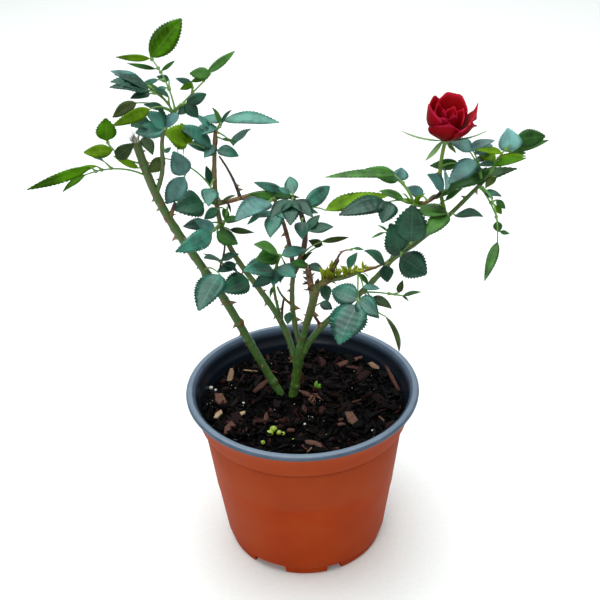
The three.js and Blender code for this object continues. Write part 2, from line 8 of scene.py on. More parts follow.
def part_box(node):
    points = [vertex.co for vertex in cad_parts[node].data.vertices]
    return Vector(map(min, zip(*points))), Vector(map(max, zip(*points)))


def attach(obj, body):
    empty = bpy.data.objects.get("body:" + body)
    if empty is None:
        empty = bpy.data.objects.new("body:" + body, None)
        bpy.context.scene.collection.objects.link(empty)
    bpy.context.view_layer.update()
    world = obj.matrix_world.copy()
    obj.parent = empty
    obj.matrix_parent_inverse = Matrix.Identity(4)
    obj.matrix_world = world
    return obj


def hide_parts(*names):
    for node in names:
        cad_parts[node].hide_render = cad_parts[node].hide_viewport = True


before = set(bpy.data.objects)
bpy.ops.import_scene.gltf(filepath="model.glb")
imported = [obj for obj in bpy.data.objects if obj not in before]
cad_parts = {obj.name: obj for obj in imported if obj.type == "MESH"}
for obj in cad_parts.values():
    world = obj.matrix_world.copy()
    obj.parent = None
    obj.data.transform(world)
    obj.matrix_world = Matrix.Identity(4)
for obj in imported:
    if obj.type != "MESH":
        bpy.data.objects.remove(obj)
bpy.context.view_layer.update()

# A miniature rose bush in its nursery pot. Sizes below are millimetres and angles degrees;
# the meshes are built in metres. The origin is the centre of the pot's flat underside.
MM = 0.001
RIM_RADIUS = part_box("pot")[1].x / MM
MIX_TOP = 95.0

# ---------------------------------------------------------------- limbs
# A limb starts at its foot on the mix, or at a point along another limb. heading runs from
# +X towards +Y and rise up from level; reach is its straight length. bow and sway bend it
# sideways in one arc and in an S, arch and wave do the same upwards, and kink bends it up in
# three. girth is its diameter at both ends, and age its bark's, from 0, fresh green, to 1,
# dark brown.
LIMBS = {
    "cane-left": dict(foot=(-14.6, 12), heading=179.9, rise=66.9, reach=181.9, bow=-3.7, sway=-1.6,
                      arch=-4.3, wave=2.1, kink=-0.9, girth=(5, 4.8), age=(0.05, 0.2)),
    "cane-main": dict(foot=(-5.5, 9), heading=310.1, rise=78.5, reach=40.2, girth=(5.6, 5.4),
                      age=(0, 0.1)),
    "cane-gnarled": dict(on=("cane-main", 1), heading=309.4, rise=72.1, reach=46.8, bow=0.3, sway=0.1,
                         arch=-0.1, wave=0.3, girth=(3.8, 5), age=(0.08, 0.3)),
    "cane-gnarled-arm": dict(on=("cane-gnarled", 1), heading=343.6, rise=30.7, reach=28.6, arch=1.8,
                             wave=1, girth=(4.4, 2.2), age=(0.3, 0.2)),
    "cane-right": dict(on=("cane-main", 0.66), heading=334.9, rise=54.9, reach=102.1, sway=-0.6,
                       arch=2.4, wave=2, girth=(3.9, 3), age=(0.05, 0.2)),
    "cane-right-upper": dict(on=("cane-right", 1), heading=350.4, rise=46.8, reach=70.9, bow=-0.5,
                             sway=-0.3, arch=-2.3, wave=-0.2, girth=(2.9, 2), age=(0.1, 0.15)),
    "flower-stem": dict(on=("cane-right-upper", 0.53), heading=133.3, rise=85.2, reach=40.7, bow=1.9,
                        sway=-0.1, arch=-1.9, girth=(2.2, 2), age=(-0.12, -0.1)),
    "cane-back": dict(on=("cane-main", 0.55), heading=137.4, rise=67.1, reach=149.1, bow=8.5,
                      sway=-4.6, arch=-6.8, wave=3.3, kink=2.5, girth=(4, 2.4), age=(0.05, 0.4)),
    "cane-centre": dict(on=("cane-main", 1), heading=111.9, rise=81, reach=47.5, bow=2.5, arch=-1,
                        girth=(3.3, 2.7), age=(0.1, 0.3)),
    "cane-centre-dark": dict(on=("cane-centre", 1), heading=85.6, rise=87, reach=46, bow=-7,
                             girth=(3.6, 2.4), age=(0.6, 0.9)),
    "cane-centre-thorny": dict(on=("cane-centre", 1), heading=113, rise=53, reach=44, bow=-1.5,
                               arch=0.7, girth=(2.7, 2.1), age=(0.6, 0.7)),
    "shoot-left-top": dict(on=("cane-left", 0.825), heading=332.4, rise=71, reach=54.4, bow=-1,
                           sway=1.3, arch=1.4, wave=-1.6, girth=(2.8, 1.8), age=(0.1, 0.4)),
    "shoot-centre": dict(on=("cane-back", 0.74), heading=14.9, rise=-0.8, reach=39.4, bow=0.6,
                         arch=2.2, wave=-1.2, girth=(3, 1.8), age=(0.6, -0.05)),
    "shoot-inner": dict(on=("cane-back", 0.19), heading=270.7, rise=67.7, reach=65.5, bow=-4.1,
                        sway=0.6, arch=0.6, wave=0.6, girth=(1.8, 1.5), age=(0.05, -0.1)),
}

# Twigs, by the same rule, too thin to be parts of their own
TWIGS = {
    "twig-far": dict(on=("flower-stem", 0.36), heading=221.6, rise=0.1, reach=20.5, arch=-2,
                     girth=(1.5, 1.9), age=(0.8, 0.25)),
    "twig-back": dict(on=("shoot-centre", 0.36), heading=138.4, rise=55.9, reach=26.5, bow=-1.5,
                      girth=(2, 1.1), age=(0.9, 0.5)),
    "knot-left": dict(on=("cane-gnarled", 0.85), heading=160.3, rise=81.1, reach=18, girth=(3.8, 3.4),
                      age=(0.4, 0.6)),
    "knot-right": dict(on=("cane-gnarled-arm", 0.3), heading=10.9, rise=61.2, reach=13.9,
                       girth=(3.2, 2.6), age=(0.4, 0.7)),
    "twig-arc": dict(on=("knot-right", 0.95), heading=26.3, rise=28.1, reach=10.2, arch=3,
                     girth=(1.2, 0.8), age=(0.8, 0.4)),
    "twig-inner": dict(on=("cane-centre", 0.56), heading=200.2, rise=58, reach=16.5, arch=-1.2,
                       girth=(1.5, 1.1), age=(0.35, 0.1)),
    "twig-low": dict(on=("cane-back", 0.62), heading=251.4, rise=-63.4, reach=19.7, arch=-4.5,
                     girth=(1.4, 1), age=(0.8, 0.6)),
    "twig-fresh": dict(on=("cane-back", 0.64), heading=331, rise=72.1, reach=14.9, arch=-0.6,
                       girth=(1.4, 1.2), age=(-0.1, -0.1)),
    "twig-dry": dict(on=("cane-right", 0.3), heading=200.6, rise=74.2, reach=14.1, arch=0.6, wave=0.5,
                     girth=(2, 1.4), age=(0.5, 0.75)),
    "twig-stub": dict(on=("cane-back", 0.2), heading=329.9, rise=83.2, reach=18.5, arch=0.6,
                      girth=(1.7, 1.4), age=(0.5, 0.8)),
    "knot-scar": dict(on=("cane-left", 0.73), heading=343.7, rise=68, reach=11.2, girth=(3, 1.8),
                      age=(0.2, 0.75)),
    "twig-five": dict(on=("cane-gnarled-arm", 1), heading=319, rise=40.2, reach=44.8, arch=-2.6,
                      girth=(1.5, 1.1), age=(0.5, 0.05)),
}
LIMBS |= TWIGS

# ---------------------------------------------------------------- leaves
# A leaf is compound: a stalk from a point along a limb or along another leaf's stalk, an end
# leaflet, and pairs of side leaflets. Where it starts and which way it points is given leaf by
# leaf; its side leaflets follow by rule. stalk and blade are (heading, rise, length) of the
# stalk and of the end leaflet, and roll turns the whole leaf about its blade. The pairs stand
# off by splay, the first one `first` behind the stalk's end and the next ones `gap` apart;
# each opens by fan and shrinks by shrink more than the one before. size is a side leaflet's
# length against the end one's, lop makes the two sides unequal, skew turns both the same way,
# twist turns each about itself, and side 1 or -1 keeps only the left or the right ones. width
# and wide are the end and side leaflets' widths against their lengths, and arch is the
# stalk's rise against its length.
LEAF = dict(roll=0, pairs=0, splay=60, size=0.85, shrink=0.1, lop=1, skew=0, first=1.5, gap=8, fan=8,
            twist=0, width=0.6, wide=0.62, arch=0.1, side=0)


def leaf_on(name, share, stalk, blade, tint, **others):
    """A leaf that starts at a share of the limb, or of the other leaf's stalk, of that name."""
    return LEAF | dict(on=(name, share), stalk=stalk, blade=blade, tint=tint) | others


LEAVES = {
    "top": leaf_on("shoot-left-top", 1, (140, 60, 30), (45, 34, 28), "young", roll=52, width=0.52),
    "right-top": leaf_on("right-top-a", 0.87, (59, 63, 3), (28, 28, 19), "fresh", roll=62, width=0.26,
        arch=0),
    "right-low": leaf_on("shoot-left-top", 1, (313, 34, 12), (35, 10, 13), "deep", roll=63, width=0.53),
    "left-high": leaf_on("shoot-left-top", 0.97, (214, 49, 22), (210, 25, 20), "deep", roll=-20, pairs=1,
        splay=18, size=0.95, shrink=0.4, skew=-8, fan=35),
    "left-mid": leaf_on("shoot-left-top", 0.97, (242, 25, 23), (231, -1, 25), "young", roll=-62,
        width=0.29),
    "front-left": leaf_on("shoot-left-top", 0.78, (276, 22, 15), (195, 1, 15), "pale", roll=-50, pairs=2,
        size=0.9, gap=3, fan=45, width=0.72, wide=0.75, side=-1),
    "yellow-mid": leaf_on("cane-back", 0.91, (209, 38, 20), (206, 36, 16), "young", roll=-45, pairs=1,
        size=0.8, width=1.04, wide=0.8, side=-1),
    "back-left": leaf_on("cane-back", 0.95, (209, 12, 2), (206, 41, 24), "pale", roll=-35, pairs=1,
        splay=45, size=0.5, side=1),
    "twig-tip": leaf_on("cane-back", 0.95, (78, -48, 6), (347, -10, 13), "pale", roll=20, width=0.83),
    "back-top": leaf_on("cane-back", 1, (47, 33, 8), (0, -1, 32), "pale", roll=15, pairs=2, splay=125,
        size=0.42, shrink=-0.08, gap=4, fan=35, width=0.42, wide=0.75, side=1),
    "back-right": leaf_on("cane-back", 1, (357, -42, 13), (31, 35, 14), "pale", roll=-15, splay=55,
        size=0.9, width=1.1),
    "pair-left": leaf_on("pair-left-end", 0.65, (251, -46, 5.5), (202, 70, 16), "waxy", roll=-97, width=0.8,
        arch=0),
    "left-of-back": leaf_on("cane-back", 0.83, (264, 4, 14), (268, -13, 15), "pale", roll=-10, splay=165,
        size=1, width=0.75, wide=0.6, side=1),
    "dark-left": leaf_on("cane-back", 0.75, (207, 3, 8), (221, 9, 20), "deep", roll=-45, width=0.94),
    "rosette": leaf_on("cane-back", 0.65, (256, 13, 18), (236, 5, 31), "pale", roll=-63, width=0.4),
    "rosette-right": leaf_on("cane-back", 0.64, (333, 1, 5.5), (329, 7, 16), "olive", roll=62, width=0.26),
    "hanging": leaf_on("cane-left", 0.52, (298, 19, 24), (241, -22, 26), "pale", roll=-5, width=0.75),
    "centre-large": leaf_on("shoot-inner", 0.83, (219, 5, 1.5), (215, 20, 20), "pale", roll=-25, pairs=1,
        splay=50, size=0.6, width=0.79, wide=0.8, side=1),
    "inner-top": leaf_on("shoot-inner", 1, (212, 51, 2), (189, 33, 15), "fresh", roll=-10, width=0.83),
    "inner-top-right": leaf_on("shoot-inner", 1, (9, 25, 1), (16, 5, 15), "pale", roll=25),
    "inner-right": leaf_on("shoot-inner", 0.88, (295, -6, 1.5), (319, -8, 13), "pale", roll=10, width=0.94),
    "thorny-left": leaf_on("cane-centre-thorny", 0.98, (254, 19, 11), (231, 2, 29), "waxy", roll=-10),
    "thorny-side": leaf_on("cane-centre-thorny", 0.8, (261, 18, 12), (259, -12, 19), "pale", pairs=1,
        splay=70, size=0.6),
    "centre-top": leaf_on("cane-centre-dark", 0.99, (86, -15, 11), (102, 29, 13), "pale", roll=-17,
        width=0.69),
    "dark-centre": leaf_on("cane-centre-dark", 0.98, (268, 15, 10), (266, -10, 20), "deep", pairs=1,
        splay=38, size=0.95),
    "dark-hanging": leaf_on("cane-centre-dark", 0.71, (268, 18, 10), (269, -6, 16), "pale"),
    "centre-mid": leaf_on("cane-centre-dark", 0.09, (308, 21, 10), (217, 22, 14), "fresh", roll=-30,
        width=0.55),
    "right-centre": leaf_on("cane-centre-dark", 0.85, (73, -21, 12), (51, 8, 26), "pale", roll=51,
        width=0.4),
    "long": leaf_on("cane-centre-dark", 0.8, (44, -17, 21), (14, 8, 39), "young", roll=20, width=0.35),
    "branch-left": leaf_on("cane-centre-dark", 0.12, (335, 48, 22), (14, 1, 16), "olive", roll=61,
        width=0.23),
    "far-upper": leaf_on("twig-far", 1, (156, 54, 18), (196, 9, 37), "fresh", roll=-30, width=0.17),
    "far-lower": leaf_on("twig-far", 1, (206, 17, 17), (206, 1, 27), "deep", roll=-30, pairs=1, splay=48,
        size=0.52, width=0.46, wide=0.85, side=1),
    "big-five": leaf_on("twig-five", 1, (359, 64, 1), (83, 81, 20), "deep", roll=-8, width=1.01),
    "right-node": leaf_on("cane-right-upper", 0.55, (259, 31, 10), (228, -13, 19), "fresh", roll=-10,
        pairs=2, size=1, gap=3, fan=20, side=-1),
    "right-small": leaf_on("cane-right-upper", 0.58, (295, 10, 4), (314, 19, 18), "deep", roll=10,
        splay=100, size=0.6, width=0.57),
    "right-inner": leaf_on("under-bloom-right", 0.53, (211, 67, 3), (212, -24, 19), "waxy", roll=-30,
        splay=75, size=0.9, wide=0.7, arch=0),
    "bloom-leaf": leaf_on("flower-stem", 0.39, (276, 25, 7), (172, 47, 12), "waxy", roll=-20, splay=110,
        size=0.9, width=0.94, side=1),
    "bloom-behind": leaf_on("flower-stem", 0.7, (25, -2, 11), (186, 0, 15), "fresh", roll=-65, width=0.44),
    "long-right": leaf_on("flower-stem", 0.3, (291, 55, 7), (9, 14, 39), "fresh", roll=20, splay=130,
        size=0.6, width=0.3),
    "yellow-right": leaf_on("cane-right-upper", 1, (34, 61, 8), (11, 3, 16), "young", roll=10, pairs=1,
        splay=95, size=0.95, gap=2, fan=40, width=0.4, wide=0.5, side=1),
    "right-most": leaf_on("right-most-up", 0.65, (47, -26, 8), (19, 8, 22), "fresh", roll=60, width=0.19,
        arch=0),
    "under-bloom": leaf_on("cane-right-upper", 0.91, (127, 64, 17), (161, 20, 14), "waxy", roll=-20,
        pairs=1, splay=105, size=1.05, width=0.77, wide=0.55, side=-1),
    "droop": leaf_on("cane-right-upper", 0.88, (284, -36, 33), (243, -35, 22), "fresh", roll=-14,
        width=0.27, arch=0.3),
    "front-centre": leaf_on("cane-gnarled-arm", 1, (266, -15, 25), (235, -35, 24), "pale", pairs=1,
        splay=82, size=0.68, lop=0.94, skew=-18, first=3, width=1.01, wide=0.85),
    "front-dark": leaf_on("cane-right", 0.71, (314, -30, 6), (321, -6, 14), "olive", roll=10),
    "strap": leaf_on("cane-right", 0.71, (43, -54, 32), (50, -62, 36), "olive", roll=10, width=0.22,
        arch=-0.08),
    "thin-twig": leaf_on("cane-right", 0.69, (322, 14, 28), (351, 19, 10), "fresh", roll=20, width=0.35,
        arch=0.02),
    "young-left": leaf_on("cane-left", 0.93, (218, 43, 28), (80, 78, 12), "young", roll=18, width=1,
        arch=-0.1),
    "far-left": leaf_on("far-left-low", 0.85, (259, 40, 8), (208, -7, 35), "young", roll=-64, width=0.18,
        arch=0),
    "stub-leaf": leaf_on("shoot-left-top", 0.69, (147, -12, 14), (299, -25, 13), "olive"),
    "left-high-small": leaf_on("left-high-blue", 0.25, (301, 68, 4.5), (211, 40, 10), "deep", roll=-30,
        arch=0),
    "left-mid-dark": leaf_on("shoot-left-top", 0.9, (225, 10, 13), (221, 8, 12), "deep", roll=-40,
        width=0.83),
    "front-up": leaf_on("front-left", 0.48, (288, 0, 2.5), (32, 38, 11), "waxy", roll=10, width=0.94,
        arch=0),
    "back-node": leaf_on("cane-back", 0.83, (139, -50, 5.5), (122, 71, 11), "deep", width=0.55),
    "low-dark": leaf_on("twig-low", 0.9, (180, 39, 1), (226, 35, 14), "deep", roll=-10, pairs=1, splay=89,
        size=0.9, skew=41, first=4, width=0.72),
    "back-low": leaf_on("cane-back", 0.49, (227, -15, 2.5), (215, -2, 13), "deep", roll=-40, width=0.55),
    "centre-dark": leaf_on("cane-back", 0.42, (259, -17, 3), (220, 1, 19), "deep", roll=-40, width=0.86),
    "pair-right": leaf_on("cane-centre-dark", 0.55, (293, 24, 5), (16, 3, 15), "deep", roll=20, pairs=1,
        splay=70, size=0.8, side=1),
    "shoot-leaf": leaf_on("shoot-centre", 0.95, (332, -42, 2.5), (198, 15, 20), "fresh", roll=-70,
        width=0.31),
    "shoot-leaf-right": leaf_on("shoot-centre", 0.9, (200, 1, 4), (341, 1, 18), "fresh", roll=60,
        width=0.28),
    "far-round": leaf_on("far-upper", 0.69, (120, -3, 3), (72, 63, 7), "waxy", roll=9, width=1.32, arch=0),
    "far-blue": leaf_on("twig-far", 0.5, (131, 36, 3.5), (172, 30, 10), "waxy", roll=-30, width=0.83),
    "front-small": leaf_on("cane-gnarled-arm", 1, (286, -30, 10), (348, 2, 9), "pale", roll=20),
    "dark-low-right": leaf_on("cane-gnarled", 0.5, (345, 58, 13), (343, -19, 8), "deep", roll=20,
        width=0.94),
    "dark-low-mid": leaf_on("cane-centre", 0.4, (232, 53, 6), (252, -50, 7), "deep", width=0.83),
    "bloom-dark": leaf_on("cane-right-upper", 0.91, (114, 46, 12), (349, 19, 9), "deep", roll=20, pairs=1,
        splay=120, size=0.9),
    "dried": leaf_on("cane-right-upper", 0.95, (326, 25, 6), (215, -31, 8), "olive", width=0.77),
    "far-triangle": leaf_on("far-left-low", 0.61, (197, 54, 5.5), (221, 38, 8), "pale", roll=-20, arch=0),
    "top-right": leaf_on("top", 0.7, (84, -2, 2.5), (33, 25, 9), "fresh", roll=61, width=0.28, arch=0),
    "left-high-low": leaf_on("left-high", 0.73, (190, 2, 3), (214, 2, 11), "deep", roll=-30, arch=0),
    "inner-low": leaf_on("shoot-inner", 1, (189, 35, 1), (200, 0, 13), "fresh", roll=-35, width=0.94),
    "centre-mid-right": leaf_on("centre-mid", 0.88, (308, 2, 1.5), (335, -12, 10), "deep", roll=15,
        width=0.72, arch=0),
    "gnarl-leaf": leaf_on("cane-gnarled-arm", 0.8, (141, 83, 4.5), (38, 51, 10), "deep", width=0.68),
    "arc-leaf": leaf_on("twig-arc", 1, (21, 27, 1.5), (0, -7, 6), "fresh", roll=20, width=0.46),
    "top-left": leaf_on("top", 0.96, (105, -15, 10), (202, 11, 18), "young", roll=-74, width=0.23, arch=0),
    "top-left-low": leaf_on("top", 0.78, (109, -20, 9), (199, 19, 15), "fresh", roll=-75, width=0.19,
        arch=0),
    "top-mid": leaf_on("top", 0.37, (94, 20, 8), (204, 24, 7), "pale", roll=-78, width=0.63, arch=0),
    "top-low": leaf_on("top-mid", 0.15, (123, -10, 3), (200, -11, 8), "pale", roll=-30, width=0.5, arch=0),
    "left-high-blue": leaf_on("shoot-left-top", 0.97, (195, 51, 23), (199, 32, 18), "waxy", roll=-35,
        width=0.44),
    "left-high-dark": leaf_on("left-high-blue", 0.81, (197, 50, 1.5), (188, 4, 20), "deep", roll=-40,
        width=0.33, arch=0),
    "left-stem": leaf_on("left-high-blue", 0.53, (243, 67, 1.5), (179, 36, 10), "fresh", roll=-30,
        width=0.46, arch=0),
    "left-mid-up": leaf_on("left-mid", 0.18, (202, 22, 3), (191, 20, 11), "deep", roll=-40, width=0.46,
        arch=0),
    "left-olive": leaf_on("shoot-left-top", 0.97, (189, 22, 20), (188, -26, 15), "olive", roll=-40,
        width=0.55),
    "pair-small": leaf_on("shoot-left-top", 0.6, (301, -49, 4.5), (357, 38, 4.5), "pale", roll=77,
        width=0.64),
    "back-top-left": leaf_on("cane-back", 1, (164, 25, 4), (172, 49, 11), "pale", roll=-10, width=0.68),
    "back-top-dark": leaf_on("cane-back", 1, (44, 18, 4.5), (152, 69, 12), "fresh", roll=10, width=0.61),
    "back-top-mid": leaf_on("cane-back", 1, (43, 36, 5.5), (18, 52, 10), "deep", roll=10, width=0.46),
    "back-right-low": leaf_on("cane-back", 0.98, (19, -25, 4), (347, -8, 9), "fresh", roll=20, width=0.33),
    "node-a": leaf_on("cane-back", 0.74, (350, 7, 3), (345, 36, 10), "olive", roll=10, width=0.55),
    "node-b": leaf_on("cane-back", 0.72, (335, 14, 4), (310, -63, 9), "fresh", roll=10, width=0.55),
    "node-c": leaf_on("cane-back", 0.74, (338, -44, 1.5), (200, 31, 7), "young", roll=-30, width=0.55),
    "node-dark": leaf_on("cane-back", 0.72, (289, 13, 2), (192, -31, 10), "deep", roll=-40, width=0.73),
    "rosette-dark": leaf_on("cane-back", 0.66, (200, 8, 8), (189, 1, 14), "deep", roll=-40),
    "rosette-high": leaf_on("cane-back", 0.66, (307, 34, 6), (342, 14, 10), "fresh", roll=30, width=0.61),
    "rosette-low": leaf_on("cane-back", 0.65, (245, -13, 6), (343, -27, 14), "fresh", roll=57, width=0.73),
    "centre-under": leaf_on("shoot-inner", 0.83, (51, -70, 3.5), (188, -25, 16), "deep", roll=-40,
        width=0.55),
    "centre-top-left": leaf_on("shoot-centre", 0.95, (327, 38, 3.5), (185, 23, 18), "pale", roll=-68,
        width=0.35),
    "right-most-low": leaf_on("right-most", 0.75, (74, -37, 3), (21, -12, 10), "fresh", roll=70, width=0.32,
        arch=0),
    "yellow-low": leaf_on("right-most-up", 0.08, (308, 76, 3), (352, 18, 17), "young", roll=30, width=0.33,
        arch=0),
    "yellow-left": leaf_on("right-most-up", 0.38, (335, 59, 4), (185, 13, 14), "young", roll=-20,
        width=0.44, arch=0),
    "under-bloom-right": leaf_on("cane-right-upper", 0.91, (136, 59, 18), (359, 24, 14), "waxy", roll=20,
        width=0.55),
    "bloom-low": leaf_on("flower-stem", 0.25, (260, 58, 4), (352, 33, 8), "fresh", roll=20, width=0.55),
    "bloom-low-left": leaf_on("flower-stem", 0.25, (246, 56, 4), (187, -9, 7), "olive", roll=-20,
        width=0.55),
    "far-node-a": leaf_on("twig-far", 0.97, (217, 34, 2.5), (191, 54, 8), "young", width=0.5),
    "far-node-b": leaf_on("twig-far", 0.97, (227, 27, 2), (187, 26, 9), "young", roll=-30, width=0.39),
    "far-node-c": leaf_on("twig-far", 0.9, (267, 50, 2), (345, 59, 7), "young", roll=10, width=0.5),
    "far-mid": leaf_on("far-lower", 0.36, (211, 44, 1.5), (190, 28, 14), "fresh", roll=-30, width=0.46,
        arch=0),
    "spike-leaf": leaf_on("cane-right-upper", 0.2, (172, 23, 17), (187, -20, 8), "fresh", roll=-30,
        width=0.24),
    "thin-up": leaf_on("thin-down", 0.42, (18, 14, 2.5), (3, 74, 8), "olive", roll=74, width=0.51, arch=0),
    "low-shadow": leaf_on("cane-gnarled", 0.9, (322, 58, 10), (337, -64, 10), "deep", roll=20, width=0.94),
    "clump-right": leaf_on("cane-centre-dark", 0.2, (282, -56, 3.5), (359, 52, 9), "olive", roll=10,
        width=0.55),
    "clump-left": leaf_on("cane-centre", 1, (202, 32, 6), (183, 76, 9), "olive", roll=10, width=0.55),
    "droop-a": leaf_on("droop", 0.09, (284, -18, 3), (349, -12, 9), "pale", roll=20, width=0.55, arch=0),
    "droop-b": leaf_on("droop-e", 0.14, (308, 41, 4.5), (352, -45, 7), "fresh", roll=73, width=0.57,
        arch=0),
    "droop-c": leaf_on("droop-foot", 0.7, (273, -30, 3), (313, -76, 6), "fresh", roll=52, width=0.87,
        arch=0),
    "far-left-low": leaf_on("cane-left", 0.885, (219, 19, 40), (199, -28, 15), "young", roll=-20,
        width=0.37),
    "far-left-high": leaf_on("far-left-low", 0.76, (241, 46, 5), (186, -11, 17), "young", roll=-20,
        width=0.29, arch=0),
    "low-dark-top": leaf_on("twig-low", 0.9, (0, 90, 2), (354, 24, 11), "deep", roll=30, width=0.55),
    "inner-under": leaf_on("cane-centre", 1, (219, 27, 5.5), (202, -55, 9), "deep"),
    "shoot-low": leaf_on("shoot-inner", 0.5, (282, 70, 5), (195, -64, 8), "fresh"),
    "thorny-under": leaf_on("cane-centre-thorny", 0.98, (222, -26, 10), (198, -34, 12), "deep", roll=-40,
        width=0.35),
    "back-left-low": leaf_on("cane-back", 0.95, (223, -37, 3.5), (180, 23, 15), "pale", roll=-40,
        width=0.46),
    "stem-a": leaf_on("cane-back", 0.91, (199, 37, 20), (198, -71, 8), "olive", width=0.22),
    "stem-b": leaf_on("cane-back", 0.91, (197, 36, 21), (193, -52, 8), "young", width=0.22),
    "node-d": leaf_on("cane-back", 0.74, (317, 20, 3.5), (199, 74, 9), "olive", width=0.55),
    "node-e": leaf_on("shoot-centre", 0.2, (216, -24, 2), (334, -67, 6), "olive", width=0.5),
    "yellow-under": leaf_on("right-most-up", 0.12, (316, 71, 3.5), (187, 0, 9), "deep", roll=-30,
        width=0.46, arch=0),
    "bloom-leaf-right": leaf_on("flower-stem", 0.3, (298, 55, 6), (198, 86, 13), "waxy", width=0.55),
    "long-under": leaf_on("flower-stem", 0.2, (282, 43, 5), (2, 39, 11), "fresh", roll=20, width=0.39),
    "far-upper-side": leaf_on("twig-far", 1, (122, 31, 16), (198, 29, 20), "fresh", roll=-50, width=0.46),
    "big-left": leaf_on("twig-five", 0.82, (185, -80, 2.5), (161, 71, 19), "deep", roll=-60, width=0.81),
    "big-right": leaf_on("twig-five", 0.82, (182, -70, 3), (353, -36, 18), "deep", roll=66, width=0.94),
    "big-left-low": leaf_on("twig-five", 0.55, (182, -55, 3), (196, 45, 16), "deep", roll=-20, width=0.68),
    "big-right-low": leaf_on("twig-five", 0.55, (182, -52, 3.5), (289, -60, 9), "deep", width=0.99),
    "droop-d": leaf_on("droop-foot", 0.06, (293, 4, 4), (319, -34, 6), "deep", roll=52, width=0.51, arch=0),
    "spike-high": leaf_on("spike-leaf", 0.84, (172, 30, 1.5), (190, 42, 7), "fresh", roll=-30, width=0.28,
        arch=0),
    "front-right": leaf_on("front-centre", 0.87, (287, -11, 2.5), (344, -36, 14), "pale", roll=10,
        width=0.9, arch=0),
    "arm-low": leaf_on("cane-gnarled-arm", 1, (284, 3, 2), (329, -43, 8), "fresh", roll=10, width=0.55),
    "thin-down": leaf_on("thin-twig", 0.65, (15, -20, 9), (333, -32, 4.5), "fresh", roll=20, width=0.39,
        arch=0),
    "pair-left-low": leaf_on("pair-left", 0.55, (250, -45, 3.5), (198, -51, 19), "waxy", roll=-73,
        width=0.68, arch=0),
    "pair-left-end": leaf_on("cane-back", 0.77, (216, 46, 44), (197, -34, 12), "olive", roll=-65,
        width=0.7),
    "rosette-up": leaf_on("rosette", 0.31, (240, -26, 4.5), (195, 40, 14), "waxy", roll=-62, width=0.58,
        arch=0),
    "far-node-d": leaf_on("twig-far", 0.9, (238, 15, 2), (359, 73, 6), "young", roll=76, width=0.52),
    "far-node-e": leaf_on("twig-far", 0.98, (233, 22, 2.5), (177, 55, 5), "young", roll=-77, width=0.5),
    "far-node-f": leaf_on("twig-far", 0.85, (253, 24, 3), (359, 30, 3.5), "young", roll=64, width=0.62),
    "right-top-a": leaf_on("shoot-left-top", 1, (13, 42, 27), (184, 4, 11), "fresh", roll=-71, width=0.67,
        arch=0),
    "right-top-b": leaf_on("right-top-a", 0.79, (46, 55, 3), (195, -15, 8), "young", roll=-69, width=0.46,
        arch=0),
    "right-top-c": leaf_on("right-top-a", 0.49, (85, 84, 5), (193, 24, 9), "pale", roll=-75, width=0.42,
        arch=0),
    "right-top-d": leaf_on("right-top-c", 0.54, (291, 74, 2.5), (198, -18, 7), "young", roll=-68,
        width=0.57, arch=0),
    "right-low-b": leaf_on("right-low", 0.5, (358, 22, 3.5), (342, -51, 10), "deep", roll=59, width=0.76,
        arch=0),
    "right-low-c": leaf_on("right-low-b", 0.35, (16, -9, 4), (198, -35, 8), "deep", roll=-66, width=0.7,
        arch=0),
    "centre-top-b": leaf_on("cane-centre-dark", 0.99, (116, 24, 3.5), (170, 25, 7), "pale", roll=-63,
        width=0.63),
    "right-centre-low": leaf_on("cane-centre-dark", 0.85, (38, -14, 3.5), (346, -16, 9), "pale", roll=61,
        width=0.37),
    "branch-left-a": leaf_on("cane-centre-dark", 0.12, (23, 27, 17), (193, 27, 9), "olive", roll=-70),
    "right-most-up": leaf_on("cane-right-upper", 1, (35, 41, 22), (6, 3, 16), "fresh", roll=66, width=0.64),
    "right-most-pale": leaf_on("right-most", 0.22, (7, -27, 3), (160, 77, 13), "waxy", roll=-75, width=1.01,
        arch=0),
    "droop-e": leaf_on("droop-foot", 0.4, (312, -9, 3.5), (324, -46, 5.5), "young", roll=55, width=0.67,
        arch=0),
    "droop-foot": leaf_on("cane-right-upper", 0.88, (305, -49, 26), (337, -4, 5), "fresh", roll=62,
        width=0.5),
    "top-low-left": leaf_on("top", 0.55, (180, 5, 3.5), (180, -13, 9), "pale", roll=-73, width=0.34,
        arch=0),
    "young-left-low": leaf_on("young-left", 0.97, (298, -20, 7), (188, 1, 15), "young", roll=-67,
        width=0.54, arch=0),
    "young-left-right": leaf_on("young-left", 0.7, (278, -14, 5.5), (345, 40, 14), "olive", roll=87,
        width=0.61, arch=0),
    "young-stipule": leaf_on("cane-left", 0.92, (248, 17, 7), (194, 35, 15), "young", roll=-73, width=0.28,
        arch=0),
}

# ---------------------------------------------------------------- directions and paths
def unit(v):
    """A direction, or rows of them, made one long."""
    return v / np.linalg.norm(v, axis=-1, keepdims=True)


def towards(heading, rise):
    """The direction of a heading and a rise, in degrees."""
    h, r = math.radians(heading), math.radians(rise)
    return np.array([math.cos(r) * math.cos(h), math.cos(r) * math.sin(h), math.sin(r)])


def across_and_up(direction):
    """The level direction to the left of a heading, and the one square to both."""
    across = unit(np.array([-direction[1], direction[0], 0.0]))
    return across, np.cross(direction, across)


def limb_points(name, t):
    """Points along a limb's middle at shares t of its reach."""
    limb = LIMBS[name]
    t = np.atleast_1d(np.asarray(t, float))[:, None]
    start = np.array([*limb["foot"], MIX_TOP]) if "foot" in limb else limb_points(*limb["on"])[0]
    along = towards(limb["heading"], limb["rise"])
    across, up = across_and_up(along)
    arc, ess, third = 4 * t * (1 - t), np.sin(2 * np.pi * t), np.sin(3 * np.pi * t)
    sideways = limb.get("bow", 0) * arc + limb.get("sway", 0) * ess
    upwards = limb.get("arch", 0) * arc + limb.get("wave", 0) * ess + limb.get("kink", 0) * third
    return start + along * limb["reach"] * t + across * sideways + up * upwards


